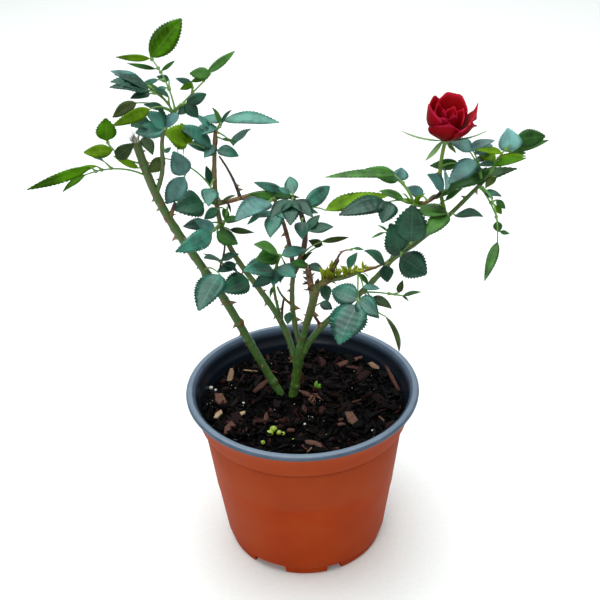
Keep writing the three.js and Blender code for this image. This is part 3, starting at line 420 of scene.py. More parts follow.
def limb_radius(name, t):
    """A limb's radius at shares t of its reach."""
    foot, tip = LIMBS[name]["girth"]
    return 0.5 * (foot + (tip - foot) * t)


def stalk_points(leaf, t):
    """Points along a leaf's stalk, which ends where its end leaflet starts. A stalk grows on a
    limb, or on another leaf's stalk when that is the name it is given."""
    heading, rise, length = leaf["stalk"]
    name, share = leaf["on"]
    foot = limb_points(name, share) if name in LIMBS else stalk_points(LEAVES[name], share)
    t = np.atleast_1d(np.asarray(t, float))[:, None]
    along = towards(heading, rise)
    up = across_and_up(along)[1]
    return foot[0] + along * length * t + up * 4 * t * (1 - t) * leaf["arch"] * length


def blade_frame(direction, roll):
    """A blade's direction, its left side and the way its upper face looks, turned by roll."""
    side, up = across_and_up(direction)
    r = math.radians(roll)
    return direction, side * math.cos(r) + up * math.sin(r), up * math.cos(r) - side * math.sin(r)


# ---------------------------------------------------------------- mesh helpers
def deselect():
    if bpy.context.mode != "OBJECT":
        bpy.ops.object.mode_set(mode="OBJECT")
    bpy.ops.object.select_all(action="DESELECT")


def shape_of(piece):
    """A modelled piece's points, in millimetres, and its faces; the piece itself goes."""
    points = np.array([piece.matrix_world @ v.co for v in piece.data.vertices]) / MM
    faces = [tuple(p.vertices) for p in piece.data.polygons]
    bpy.data.objects.remove(piece)
    return points, faces


def join(name, finishes, parts, smooth=True):
    """Joins parts into one piece. A part is its points, its faces, the finish of each face (or
    one for all), and its values point by point: a number each, or a pair for a UV map."""
    points, faces, kinds, values = [], [], [], {}
    start = 0
    for here, there, kind, extra in parts:
        points.append(here)
        faces += [tuple(start + i for i in face) for face in there]
        kinds += list(kind) if np.ndim(kind) else [kind] * len(there)
        for key, value in extra.items():
            values.setdefault(key, []).append(value)
        start += len(here)
    mesh = bpy.data.meshes.new(name)
    mesh.from_pydata((np.concatenate(points) * MM).tolist(), [], faces)
    mesh.polygons.foreach_set("material_index", np.array(kinds, np.int32))
    mesh.polygons.foreach_set("use_smooth", np.full(len(faces), smooth))
    for finish in finishes:
        mesh.materials.append(finish)
    for key, value in values.items():
        value = np.concatenate(value)
        if value.ndim == 1:
            mesh.attributes.new(key, "FLOAT", "POINT").data.foreach_set("value", value)
        else:
            corner = np.zeros(len(mesh.loops), np.int32)
            mesh.loops.foreach_get("vertex_index", corner)
            mesh.uv_layers.new(name=key).data.foreach_set("uv", value[corner].ravel())
    mesh.update()
    piece = bpy.data.objects.new(name, mesh)
    bpy.context.scene.collection.objects.link(piece)
    return piece


def settle(piece, slot, *nodes):
    """A finished piece rides on the plant and stands for CAD nodes, which it hides. slot is not used."""
    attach(piece, "root")
    if nodes:
        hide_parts(*nodes)
    return piece


def tube(points, radii, sides):
    """A closed tube round a path. radii is one number a point, or a row of one a side."""
    along = unit(np.gradient(points, axis=0))
    first = np.cross(along[0], [0.31, 0.95, 0.05])
    across = [unit(first)]
    for direction in along[1:]:
        across.append(unit(across[-1] - direction * np.dot(across[-1], direction)))
    across = np.array(across)
    up = np.cross(along, across)
    turn = np.linspace(0, 2 * np.pi, sides, endpoint=False)
    radii = np.broadcast_to(np.reshape(radii, (len(points), -1)), (len(points), sides))[:, :, None]
    spokes = np.cos(turn)[:, None] * across[:, None] + np.sin(turn)[:, None] * up[:, None]
    rings = points[:, None] + radii * spokes
    mesh_points = np.concatenate([rings.reshape(-1, 3), points[:1], points[-1:]])
    faces = []
    last = len(points) - 1
    for k in range(sides):
        n = (k + 1) % sides
        faces += [(i * sides + k, i * sides + n, (i + 1) * sides + n, (i + 1) * sides + k)
                  for i in range(last)]
        faces += [(len(mesh_points) - 2, n, k), (len(mesh_points) - 1, last * sides + k, last * sides + n)]
    return mesh_points, faces


# A domed end: how far each of its rings stands out, and how wide it is, against the radius
DOME = ((0.45, 0.95), (0.8, 0.62), (0.98, 0.25))
DOME_WIDTH = 0.9


def rounded(points, radii):
    """Adds a domed end to a path and its radii."""
    step = unit(points[-1] - points[-2]) * np.reshape(radii[-1], (-1,)).mean()
    ends = [points[-1] + step * out for out, _ in DOME]
    caps = [radii[-1] * wide * DOME_WIDTH for _, wide in DOME]
    return np.vstack([points, ends]), np.concatenate([radii, caps])


# ---------------------------------------------------------------- finish helpers
SKIN_IOR = 1.45  # waxy plant skin


def linear(code):
    """An sRGB hex colour as linear red, green, blue and alpha."""
    parts = [int(code[i : i + 2], 16) / 255 for i in (1, 3, 5)]
    return [p / 12.92 if p <= 0.04045 else ((p + 0.055) / 1.055) ** 2.4 for p in parts] + [1]


def add(tree, kind, inputs=None, **settings):
    """Adds a node with its settings, and a value or a link for each input named."""
    made = tree.nodes.new(kind)
    for key, value in settings.items():
        setattr(made, key, value)
    for key, value in (inputs or {}).items():
        if isinstance(value, bpy.types.NodeSocket):
            tree.links.new(value, made.inputs[key])
        else:
            made.inputs[key].default_value = value
    return made


def new_finish(name, roughness, ior=1.5, gloss=0.5):
    """A new material with its tree, its shader, and its places in object coordinates."""
    made = bpy.data.materials.new(name)
    made.use_nodes = True
    shader = made.node_tree.nodes["Principled BSDF"]
    shader.inputs["Roughness"].default_value = roughness
    shader.inputs["IOR"].default_value = ior
    shader.inputs["Specular IOR Level"].default_value = gloss
    return made, made.node_tree, shader, add(made.node_tree, "ShaderNodeTexCoord").outputs["Object"]


def clouds(tree, place, scale, detail=2.0):
    """Soft noise of a scale."""
    made = add(tree, "ShaderNodeTexNoise", {"Vector": place, "Scale": scale, "Detail": detail})
    return made.outputs[0]


def drawn_out(tree, place, share):
    """Places whose height counts for a share of itself, so that a pattern changes with it."""
    return add(tree, "ShaderNodeMapping", {0: place, 3: (1.0, 1.0, share)}).outputs[0]


def carried(tree, value, low, high, first, last):
    """A value carried from the range low to high into the range first to last."""
    return add(tree, "ShaderNodeMapRange", {0: value, 1: low, 2: high, 3: first, 4: last}).outputs[0]


def reckon(tree, operation, *values):
    """A sum on one, two or three values."""
    return add(tree, "ShaderNodeMath", dict(enumerate(values)), operation=operation).outputs[0]


def blend(tree, factor, first, second):
    """One colour going over into another by a factor."""
    return add(tree, "ShaderNodeMix", {0: factor, 6: first, 7: second}, data_type="RGBA").outputs[2]


def attribute(tree, name):
    """A value that a mesh carries point by point."""
    return add(tree, "ShaderNodeAttribute", attribute_name=name).outputs["Fac"]


def paint(tree, shader, colour):
    """Gives a finish its colour."""
    tree.links.new(colour, shader.inputs["Base Color"])


def emboss(tree, shader, height, strength, depth):
    """Relief on a finish, depth metres at full height."""
    made = add(tree, "ShaderNodeBump", {"Strength": strength, "Distance": depth, "Height": height})
    tree.links.new(made.outputs[0], shader.inputs["Normal"])


def ramp(tree, factor, stops):
    """Colours by position along a factor: stops are (position, sRGB hex)."""
    made = add(tree, "ShaderNodeValToRGB", {0: factor})
    bar = made.color_ramp
    while len(bar.elements) < len(stops):
        bar.elements.new(0.5)
    for element, (position, code) in zip(bar.elements, stops):
        element.position = position
        element.color = linear(code)
    return made.outputs[0]


def mottled(name, roughness, scale, stops, detail=2.0, ior=1.5, gloss=0.5):
    """A finish whose colour only drifts through its stops in soft clouds."""
    finish, tree, shader, place = new_finish(name, roughness, ior, gloss)
    paint(tree, shader, ramp(tree, clouds(tree, place, scale, detail), stops))
    return finish


# ---------------------------------------------------------------- camera, floor and lights
LENS, FRAME_WIDTH = 66, 36
CAMERA_PLACE = (0, -0.542, 0.492)
LOOK_DOWN, HEAD_TILT = 30.9, -1.6
WORLD_LIGHT = 0.36
FLOOR_RADIUS = 6

camera = bpy.data.objects.new("camera", bpy.data.cameras.new("camera"))
bpy.context.scene.collection.objects.link(camera)
camera.data.lens = LENS
camera.data.sensor_width = FRAME_WIDTH
camera.location = CAMERA_PLACE
look = Matrix.Rotation(math.radians(90 - LOOK_DOWN), 4, "X")
look = look @ Matrix.Rotation(math.radians(HEAD_TILT), 4, "Z")
camera.rotation_euler = look.to_euler()
bpy.context.scene.camera = camera
bpy.context.scene.view_settings.view_transform = "Standard"

world = bpy.data.worlds.new("studio")
bpy.context.scene.world = world
world.use_nodes = True
world.node_tree.nodes["Background"].inputs["Color"].default_value = (1, 1, 1, 1)
world.node_tree.nodes["Background"].inputs["Strength"].default_value = WORLD_LIGHT

# Soft boxes: name, place and the point they face in metres, size in metres, watts, colour
SOFT_BOXES = [
    ("light-over", (-0.1, 0.12, 1.3), (0, 0, 0), 1.5, 26, (0.9, 0.97, 1.0)),
    ("light-front", (-0.3, -1.25, 0.85), (0, 0, 0), 0.8, 5, (1.0, 0.98, 0.95)),
    ("light-floor", (0, 1.5, 0.7), (0, 1.5, 0), 1.6, 3.6, (1.0, 1.0, 1.0)),
]
for name, place, aim, size, power, tint in SOFT_BOXES:
    box = bpy.data.objects.new(name, bpy.data.lights.new(name, "AREA"))
    bpy.context.scene.collection.objects.link(box)
    box.data.size = size
    box.data.energy = power
    box.data.color = tint
    box.location = place
    box.rotation_euler = (Vector(aim) - Vector(place)).to_track_quat("-Z", "Y").to_euler()

deselect()
bpy.ops.mesh.primitive_circle_add(vertices=96, radius=FLOOR_RADIUS, fill_type="NGON")
floor = bpy.context.object
floor.name = "floor"
paper = mottled("matt-white-paper", 0.9, 400.0, [(0.3, "#f1f3f0"), (0.7, "#f5f7f4")], gloss=0.1)
floor.data.materials.append(paper)


# ---------------------------------------------------------------- the pot
# Two layers of polypropylene, drawn in one wall: terracotta outside, slate inside and on
# the flange. The collar under the flange stands out from the body by a small step. Profiles
# are (radius, height), from the foot up.
WALL = 1.1
SEGMENTS = 160
POT_BODY = [
    (46.6, 0), (47.8, 0.4), (48.2, 1.2), (48.4, 5), (48.3, 5.5), (49.4, 5.8), (49.8, 6.6), (50.5, 9.2),
    (55, 42), (55.3, 42.5), (60.7, 86.8), (60.2, 88.6), (60.4, 89.1), (62.8, 89.5), (63.2, 90.4),
    (63.8, 96), (65.1, 100), (66.9, 103.4), (68.4, 105.1), (69.2, 105.5), (69.9, 106.1), (70, 107),
    (69.6, 107.8), (68.9, 108.3), (68.2, 108.5),
]
POT_HOLLOW = [
    (44.8, WALL), (46.6, 2), (47.2, 4), (47.2, 6.6), (48.4, 7.6), (49.3, 9.8), (59.4, 87), (61.4, 91.2),
    (62.1, 96.4), (62.4, 98), (62.8, 98.5), (63.7, 103), (64.3, 106.2), (65, 107.5), (66.2, 108.2),
    (67, 109.5),
]
FLANGE_FOOT = 105.6  # where the slate layer starts on the outside
# Drainage arches round the foot, wide and narrow by turns: heading, width and height
ARCHES = [(1, 23.3, 6.8), (50, 10, 4.7), (121, 23.3, 6.8), (170, 10, 4.7), (241, 23.3, 6.8), (290, 10, 4.7)]
ARCH_CROWN, ARCH_INNER = 0.9, 41
DRAIN, DRAIN_AT, DRAIN_DEPTH = 2.6, 45.5, 20


def turned(name, profile, kind):
    """A solid of revolution, drawn out ring by ring from a disc."""
    deselect()
    radius, height = profile[0]
    bpy.ops.mesh.primitive_circle_add(vertices=SEGMENTS, radius=radius * MM, fill_type="NGON",
                                      location=(0, 0, height * MM))
    piece = bpy.context.object
    piece.name = name
    bpy.ops.object.mode_set(mode="EDIT")
    bpy.ops.mesh.select_all(action="SELECT")
    for (r0, z0), (r1, z1) in zip(profile, profile[1:]):
        bpy.ops.mesh.extrude_region_move(TRANSFORM_OT_translate={"value": (0, 0, (z1 - z0) * MM)})
        bpy.ops.transform.resize(value=(r1 / r0, r1 / r0, 1))
    bpy.ops.mesh.select_all(action="SELECT")
    bpy.ops.mesh.normals_make_consistent(inside=False)
    bpy.ops.object.mode_set(mode="OBJECT")
    bpy.ops.object.transform_apply(location=True)
    piece.data.materials.append(terracotta)
    piece.data.materials.append(slate)
    piece.data.polygons.foreach_set("material_index", np.full(len(piece.data.polygons), kind, np.int32))
    return piece


def cut(piece, cutter):
    """Takes a cutter's solid out of a piece."""
    knife = piece.modifiers.new("cut", "BOOLEAN")
    knife.operation = "DIFFERENCE"
    knife.solver = "EXACT"
    knife.object = cutter
    deselect()
    bpy.context.view_layer.objects.active = piece
    piece.select_set(True)
    bpy.ops.object.modifier_apply(modifier="cut")
    bpy.data.objects.remove(cutter)


def arch_block(heading, width, height, swell):
    """The block that cuts one drainage arch out of the foot, wider by swell."""
    half, top = width / 2 + swell, height + swell
    depth = RIM_RADIUS - ARCH_INNER + swell
    deselect()
    bpy.ops.mesh.primitive_cube_add(size=1, location=(RIM_RADIUS * MM - depth * MM / 2, 0, 0),
                                    scale=(depth * MM, 2 * half * MM, 2 * top * MM))
    block = bpy.context.object
    bpy.ops.object.transform_apply(location=True, scale=True)
    for point in block.data.vertices:
        if point.co.z > 0:
            point.co.y *= ARCH_CROWN
    block.rotation_euler = (0, 0, math.radians(heading))
    bpy.ops.object.transform_apply(rotation=True)
    return block


# Terracotta polypropylene, moulded: an even satin skin, a little dusty, with the odd
# dark speck of splashed mix, and painted shade in the crease under the collar.
terracotta, tree, shader, place = new_finish("moulded-polypropylene-terracotta", 0.55, gloss=0.05)
dust = clouds(tree, place, 38.0, 5.0)
tone = ramp(tree, dust, [(0.3, "#98330a"), (0.52, "#a0380c"), (0.75, "#a03f14")])
specks = add(tree, "ShaderNodeTexVoronoi", {"Vector": place, "Scale": 75.0})
speck = carried(tree, specks.outputs["Distance"], 0.07, 0.045, 0.0, 1.0)
patch = clouds(tree, place, 60.0)
often = carried(tree, patch, 0.55, 0.6, 0.0, 0.75)
dirty = reckon(tree, "MULTIPLY", speck, often)
split = add(tree, "ShaderNodeSeparateXYZ", {0: place})
band = carried(tree, split.outputs[2], 0.057, 0.061, 0.0, 0.35)
banded = blend(tree, band, tone, linear("#98482c"))
# Painted shade: a dark band just under the collar's step, where its shadow falls
under = carried(tree, split.outputs[2], 0.0862, 0.0884, 0.0, 0.75)
over = carried(tree, split.outputs[2], 0.0893, 0.0899, 1.0, 0.0)
painted_crease_shade = reckon(tree, "MULTIPLY", under, over)
crease_shaded = blend(tree, painted_crease_shade, banded, linear("#5a1c08"))
mixed = blend(tree, dirty, crease_shaded, linear("#3a2018"))
paint(tree, shader, mixed)
skin = clouds(tree, place, 900.0, 2.0)
emboss(tree, shader, skin, 0.12, 0.0002)

# Slate polypropylene of the inside and the flange: the same satin, with a painted highlight
# along the top of the lip, and painted shade that darkens the inside wall below the flange.
slate, tree, shader, place = new_finish("moulded-polypropylene-slate", 0.3, gloss=0.4)
scuff = clouds(tree, place, 120.0, 4.0)
split = add(tree, "ShaderNodeSeparateXYZ", {0: place})
# Below the flange the inside wall goes to near black: dark slate, deepened by painted shade down in the pot
depth = carried(tree, split.outputs[2], 0.1035, 0.1076, 0.0, 1.0)
tone = ramp(tree, scuff, [(0.35, "#3e4e60"), (0.7, "#4c5d70")])
mixed = blend(tree, depth, linear("#131b26"), tone)
# Painted highlight: a pale band along the top of the lip, where the light catches its round
painted_lip_highlight = carried(tree, split.outputs[2], 0.1079, 0.1084, 0.0, 0.35)
lip_highlighted = blend(tree, painted_lip_highlight, mixed, linear("#93a3b2"))
paint(tree, shader, lip_highlighted)

pot = turned("pot-shell", POT_BODY, 0)
for face in pot.data.polygons:
    if face.center.z > FLANGE_FOOT * MM:
        face.material_index = 1
hollow = turned("pot-hollow", POT_HOLLOW, 1)
for arch in ARCHES:
    cut(pot, arch_block(*arch, 0))
    cut(hollow, arch_block(*arch, WALL))
cut(pot, hollow)
for heading, width, height in ARCHES:
    turn = math.radians(heading)
    deselect()
    bpy.ops.mesh.primitive_cylinder_add(vertices=24, radius=DRAIN * MM, depth=DRAIN_DEPTH * MM,
                                        location=(DRAIN_AT * MM * math.cos(turn),
                                                  DRAIN_AT * MM * math.sin(turn), 0))
    drill = bpy.context.object
    bpy.ops.object.transform_apply(location=True)
    cut(pot, drill)
deselect()
bpy.context.view_layer.objects.active = pot
pot.select_set(True)
bpy.ops.object.shade_smooth_by_angle(angle=math.radians(35))
settle(pot, "pot_plastic", "pot")


# ---------------------------------------------------------------- the potting mix
# Composted bark: a black crumbly bed, with flat chips, stalks, crumbs and grit on it.
MIX_RADIUS = 61.2
BED_TONE, GRIT_TONE = 0.06, 0.5
# Places (x, y) within some 3 mm of the two canes' feet, and how far loose pieces stay from them
CANE_FEET = ((-13, 10), (-6.5, 6))
FOOT_ROOM = 4.5
chance = np.random.default_rng(7)


def bed_height(x, y):
    """Height of the crumbly bed at a place, or at arrays of places."""
    x, y = np.asarray(x, float), np.asarray(y, float)
    rolling = 0.8 * np.sin(0.11 * x + 1) * np.cos(0.13 * y) + 0.5 * np.sin(0.31 * x + 0.2 * y)
    sunk = -0.9 * np.clip((np.hypot(x, y) - 40) / 21, 0, 1)
    return MIX_TOP - 0.8 + rolling + sunk


def bed():
    """The bed's dense upper skin, its skirt down the wall and its underside."""
    sectors, rings = 220, 84
    turn = np.linspace(0, 2 * np.pi, sectors, endpoint=False)
    points = [[0, 0, float(bed_height(0, 0))]]
    for radius in MIX_RADIUS * (np.arange(1, rings + 1) / rings) ** 0.8:
        for a in turn:
            x, y = radius * math.cos(a), radius * math.sin(a)
            crumb = noise.fractal(Vector((0.42 * x, 0.42 * y, 3)), 0.9, 2.2, 4)
            points.append([x, y, float(bed_height(x, y)) + 1.5 * crumb])
    for radius, z in ((60.4, 90.6), (58.6, 87), (48, 13), (46, 9)):
        points += [[radius * math.cos(a), radius * math.sin(a), z] for a in turn]
    points.append([0, 0, 9])
    last = len(points) - 1
    faces = [(0, 1 + k, 1 + (k + 1) % sectors) for k in range(sectors)]
    for ring in range(rings + 3):
        a, b = 1 + ring * sectors, 1 + (ring + 1) * sectors
        faces += [(a + k, b + k, b + (k + 1) % sectors, a + (k + 1) % sectors) for k in range(sectors)]
    end = 1 + (rings + 3) * sectors
    faces += [(last, end + (k + 1) % sectors, end + k) for k in range(sectors)]
    return np.array(points), faces


def toned(points, faces, tone):
    """A part of the first finish, all of one tone."""
    return points, faces, 0, {"tone": np.full(len(points), tone)}


def scattered(form, count, within, longest, thick, lift, tilt, tones):
    """Copies of one small form lying on the bed: longest is the range of their lengths, thick
    of their thickness, and tones of their tone."""
    points, faces = form
    parts = []
    for _ in range(count):
        radius, a = within * math.sqrt(chance.random()), chance.uniform(0, 2 * np.pi)
        x, y = radius * math.cos(a), radius * math.sin(a)
        if any(math.hypot(x - fx, y - fy) < FOOT_ROOM for fx, fy in CANE_FEET):
            continue
        length = chance.uniform(*longest) * (0.6 + 0.8 * chance.random() ** 2)
        size = np.array([length, length * chance.uniform(0.28, 0.7), chance.uniform(*thick)])
        turn = Euler((chance.normal(0, tilt), chance.normal(0, tilt), chance.uniform(0, 6.3)))
        bend = chance.normal(0, 0.12) * length
        here = points * size
        here[:, 2] += bend * (points[:, 0] * 2) ** 2
        here = here @ np.array(turn.to_matrix()).T
        here += [x, y, float(bed_height(x, y)) + lift + chance.uniform(-0.6, 0.9)]
        if np.hypot(here[:, 0], here[:, 1]).max() <= MIX_RADIUS + 0.1:
            parts.append(toned(here, faces, chance.uniform(*tones)))
    return parts


def chip_form(corners, ragged):
    """A flat chip a unit long: a ragged outline, its upper face smaller than its lower."""
    deselect()
    bpy.ops.mesh.primitive_circle_add(vertices=corners, radius=0.5 * MM, fill_type="NGON")
    chip = bpy.context.object
    for point in chip.data.vertices:
        point.co *= 1 + chance.uniform(-ragged, ragged)
    bpy.ops.object.mode_set(mode="EDIT")
    bpy.ops.mesh.select_all(action="SELECT")
    bpy.ops.mesh.extrude_region_move(TRANSFORM_OT_translate={"value": (0, 0, 1 * MM)})
    bpy.ops.transform.resize(value=(0.86, 0.8, 1))
    bpy.ops.mesh.select_all(action="SELECT")
    bpy.ops.mesh.normals_make_consistent(inside=False)
    bpy.ops.object.mode_set(mode="OBJECT")
    return shape_of(chip)


def lump_form(detail, ragged):
    """A round lump a unit across, knocked out of true."""
    deselect()
    bpy.ops.mesh.primitive_ico_sphere_add(subdivisions=detail, radius=0.5 * MM)
    lump = bpy.context.object
    for point in lump.data.vertices:
        point.co *= 1 + chance.uniform(-ragged, ragged)
    return shape_of(lump)


# Composted pine bark, damp: near black, with a dull broken gloss and rusty inner faces.
bark_mix, tree, shader, place = new_finish("composted-bark-damp", 0.55, gloss=0.06)
fibre = clouds(tree, drawn_out(tree, place, 3.0), 500.0, 4.0)
shifted = reckon(tree, "MULTIPLY_ADD", fibre, 0.16, attribute(tree, "tone"))
paint(tree, shader, ramp(tree, shifted, [
    (0.05, "#000000"), (0.36, "#040303"), (0.54, "#110b0b"), (0.68, "#321916"),
    (0.82, "#62443a"), (0.93, "#94795f"), (1.0, "#b39a78"),
]))
emboss(tree, shader, fibre, 0.6, 0.0006)

chips = [chip_form(6, 0.25), chip_form(7, 0.35), chip_form(5, 0.2)]
parts = [toned(*bed(), BED_TONE)]
for chip in chips:
    parts += scattered(chip, 400, 60.5, (2, 6), (0.5, 1.3), 0.2, 0.5, (0.0, 0.4))
    parts += scattered(chip, 110, 58, (5, 12), (0.6, 1.5), 0.8, 0.34, (0.05, 0.58))
    parts += scattered(chip, 12, 54, (5, 10), (0.5, 1.1), 1.5, 0.22, (0.45, 0.74))
settle(join("bark-mix", [bark_mix], parts, smooth=False), "potting_mix", "mix")

# Long splinters and stalks
splinter = chip_form(6, 0.1)
splinter[0][:, 1] *= 0.24
parts = scattered(splinter, 260, 58, (6, 15), (0.5, 0.9), 0.9, 0.22, (0.1, 0.6))
parts += scattered(splinter, 12, 57, (6, 15), (0.4, 0.7), 1.4, 0.15, (0.5, 0.88))
settle(join("bark-splinters", [bark_mix], parts, smooth=False), "potting_mix")

# Crumbs
crumb = lump_form(1, 0.25)
parts = scattered(crumb, 1500, 60.8, (0.7, 2.4), (0.6, 1.6), 0.3, 0.6, (0.0, 0.5))
settle(join("bark-crumbs", [bark_mix], parts, smooth=False), "potting_mix")

# Perlite: blown volcanic glass, a chalky off-white.
perlite = mottled("perlite-blown", 0.85, 900.0, [(0.35, "#a9a99a"), (0.6, "#d8d8cc")])
grit = lump_form(1, 0.2)
parts = scattered(grit, 80, 59, (0.5, 1.3), (0.5, 1.0), 1.0, 0.5, (0.5, 0.5))
# The larger ones: places on the mix (x, y) and sizes across
LARGE_GRIT = [
    (-57, 20, 3), (-54, 17, 2), (5, -15, 2), (1, -22, 2.4), (3, -17, 1.4), (-36, 0, 1.8), (40, -30, 1.6),
]
points, faces = grit
for x, y, size in LARGE_GRIT:
    parts.append(toned(points * size + [x, y, float(bed_height(x, y)) + 1.2], faces, GRIT_TONE))
settle(join("perlite", [perlite], parts), "potting_mix")

# Slow-release feed: waxy green and straw beads
feed = mottled("coated-feed-beads", 0.35, 300.0, [(0.35, "#7d9a1c"), (0.65, "#b9c65a")])
bead = lump_form(3, 0.03)
# Places on the mix (x, y) and sizes across
BEADS = [
    (-17.6, -29.0, 4.4), (-19.6, -31.8, 4.2), (-14.5, -31.5, 3.4), (-12.0, -31.8, 2.6),
    (-23.8, -38.4, 3.0), (13.5, -33.0, 1.8), (-6.0, -36.6, 1.8),
]
BEAD_SHAPE = [1, 0.92, 0.85]
parts = []
points, faces = bead
for x, y, size in BEADS:
    here = points * size * BEAD_SHAPE + [x, y, float(bed_height(x, y)) + size * 0.42 + 0.6]
    parts.append((here, faces, 0, {}))
settle(join("feed-beads", [feed], parts), "potting_mix")

ODD_THICK = 0.7
# Odd ones on the bed: what form, its place (x, y), length, width, lean, turn and tone
ODD = [
    (chips[0], 0, 20, 11, 3.4, 66, 95, 0.63), (chips[1], -45, 29, 11, 5, 50, 70, 0.83),
    (chips[2], -50, 2, 11, 7, 25, 120, 0.73), (chips[0], 56, 18, 20, 3, 34, 118, 0.69),
    (chips[1], 26, 40, 11, 6, 12, 20, 0.67), (chips[0], 34, 44, 12, 4, 12, 15, 0.69),
    (chips[2], 46, 35, 9, 5, 20, 150, 0.79), (chips[2], 29, -22, 12, 7, 30, 130, 0.75),
    (chips[1], 5, -42, 12, 6, 12, 165, 0.73), (chips[0], -25, 15, 13, 5, 20, 35, 0.65),
    (chips[2], -44, -25, 10, 6, 24, 60, 0.71), (chips[1], 9, 4, 9, 4, 10, 150, 0.78),
    (chips[2], -51, -12, 7, 4, 30, 40, 0.92), (chips[0], -38, -12, 8, 4, 18, 15, 0.92),
    (chips[1], -5, 30, 12, 5, 10, 60, 0.65), (chips[0], -19, -10, 10, 3, 8, 100, 0.61),
]
parts = []
for (points, faces), x, y, long, wide, lean, way, shade in ODD:
    turn = Euler((0, -math.radians(lean), math.radians(way)))
    here = (points * [long, wide, ODD_THICK]) @ np.array(turn.to_matrix()).T
    here += [x, y, float(bed_height(x, y)) + 1.2 + 0.35 * long * math.sin(math.radians(lean))]
    parts.append(toned(here, faces, shade))
settle(join("bark-odd-chips", [bark_mix], parts, smooth=False), "potting_mix")

# A sprout beside the canes: two upright seed leaves
sprout = mottled("seedling-skin", 0.45, 200.0, [(0.35, "#4f8a12"), (0.65, "#7aa82c")], ior=SKIN_IOR)
# Its y, and each leaf's x, heading and length
SPROUT_Y, SPROUT_RISE = 13.0, 76
SEED_LEAVES = ((8.4, 100, 7.0), (9.6, 60, 5.0))
parts = []
for x, way, long in SEED_LEAVES:
    share = np.linspace(0, 1, 7)[:, None]
    foot = np.array([x, SPROUT_Y, float(bed_height(x, SPROUT_Y))])
    path = foot + share * long * towards(way, SPROUT_RISE) + share**2 * [0.8, -0.3, 0]
    parts.append((*tube(path, 0.35 + 1.1 * np.sin(np.pi * share[:, 0] ** 1.3), 8), 0, {}))
settle(join("seedling", [sprout], parts), "potting_mix")


# ---------------------------------------------------------------- canes
# Green rose bark: smooth and waxy when young, turning olive, then brown and corky, with
# scars at the nodes. "age" changes along each cane and is higher at nodes and scars.
NODE_STEP = 17.0
CANE_RING = 0.9  # distance between the rings of a cane's skin
THICK_CANE = 3.5  # canes thicker than this at the foot have more sides
chance = np.random.default_rng(11)
# Scars on a cane: its name, share along, side it faces, length and depth of colour
SCARS = [
    ("cane-left", 0.2, 300, 3.0, 0.62), ("cane-left", 0.045, 250, 1.2, 0.3),
    ("cane-left", 0.29, 200, 2.0, 0.35), ("cane-left", 0.39, 20, 2.0, 0.4),
    ("cane-left", 0.575, 330, 8.0, 0.42), ("cane-left", 0.74, 350, 2.6, 0.8),
    ("cane-left", 0.7, 320, 5.0, 0.35), ("cane-left", 0.93, 350, 1.6, 0.6),
    ("cane-left", 0.99, 300, 3.0, 0.3), ("cane-back", 0.83, 230, 2.0, 0.5),
    ("cane-back", 0.97, 270, 7.0, 0.9), ("shoot-left-top", 0.45, 300, 2.0, 0.6),
    ("shoot-left-top", 0.8, 300, 3.0, 0.5), ("cane-gnarled", 0.95, 250, 6.0, 0.4),
    ("cane-right", 0.2, 250, 1.5, 0.3),
]


def cane_parts(name):
    """One cane's skin: swollen nodes, leaf scars, ridges, and a flare where it starts."""
    limb = LIMBS[name]
    reach = limb["reach"]
    steps = int(reach / CANE_RING)
    t = np.linspace(-0.5 / reach if "on" in limb else -3 / reach, 1, steps)
    points = limb_points(name, t)
    base = limb_radius(name, np.clip(t, 0, 1))
    s = t * reach
    old = limb["age"][0] + (limb["age"][1] - limb["age"][0]) * np.clip(t, 0, 1)
    sides = 16 if limb["girth"][0] > THICK_CANE else 12
    turn = np.linspace(0, 2 * np.pi, sides, endpoint=False)
    swell = np.zeros((steps, sides))
    age = np.repeat(old[:, None], sides, 1)
    at = chance.uniform(6, NODE_STEP)
    where = 0.0
    while at < reach - 2:
        where += 2.4 + chance.normal(0, 0.4)
        ring = np.exp(-(((s - at) / 1.1) ** 2))[:, None]
        bud = np.exp(-(((s - at) / 1.6) ** 2))[:, None] * np.exp(3 * (np.cos(turn - where) - 1))
        swell += 0.05 * ring + 0.3 * bud
        scar = np.exp(-(((s - at + 1.2) / 0.7) ** 2))[:, None] * np.exp(1.5 * (np.cos(turn - where) - 1))
        age += 0.3 * scar + 0.04 * ring
        at += NODE_STEP * chance.uniform(0.7, 1.4)
    for _, share, side, length, depth in (scar for scar in SCARS if scar[0] == name):
        patch = np.exp(-(((s - share * reach) / length) ** 2))[:, None]
        facing = np.cos(turn - math.radians(side) + 0.4 * np.sin(3 * turn))
        age += depth * patch * np.clip(0.35 + 0.8 * facing, 0, 1)
        swell += 0.1 * np.exp(-(((s - share * reach) / 1.3) ** 2))[:, None]
    ridges = 0.02 * np.sin(5 * turn + 0.12 * s[:, None]) + 0.015 * np.sin(9 * turn - 0.2 * s[:, None])
    rough = np.array([
        [noise.noise(Vector((x * 0.6, y * 0.6 + 7 * k, z * 0.35))) for k in range(sides)]
        for x, y, z in points
    ])
    swell += ridges + (0.03 + 0.12 * old[:, None]) * rough
    age += 0.16 * rough
    share, run = (0.35, 2.2) if "on" in limb else (0.1, 5)
    flare = share * np.exp(-np.clip(s, 0, None) / run)
    radii = base[:, None] * (1 + swell + flare[:, None])
    points, radii = rounded(points, radii)
    age = np.vstack([age, np.repeat(age[-1:], 3, 0)])
    here, faces = tube(points, radii, sides)
    return here, faces, 0, {"age": np.clip(np.append(age.ravel(), [age[0, 0], age[-1, 0]]), -0.12, 1)}


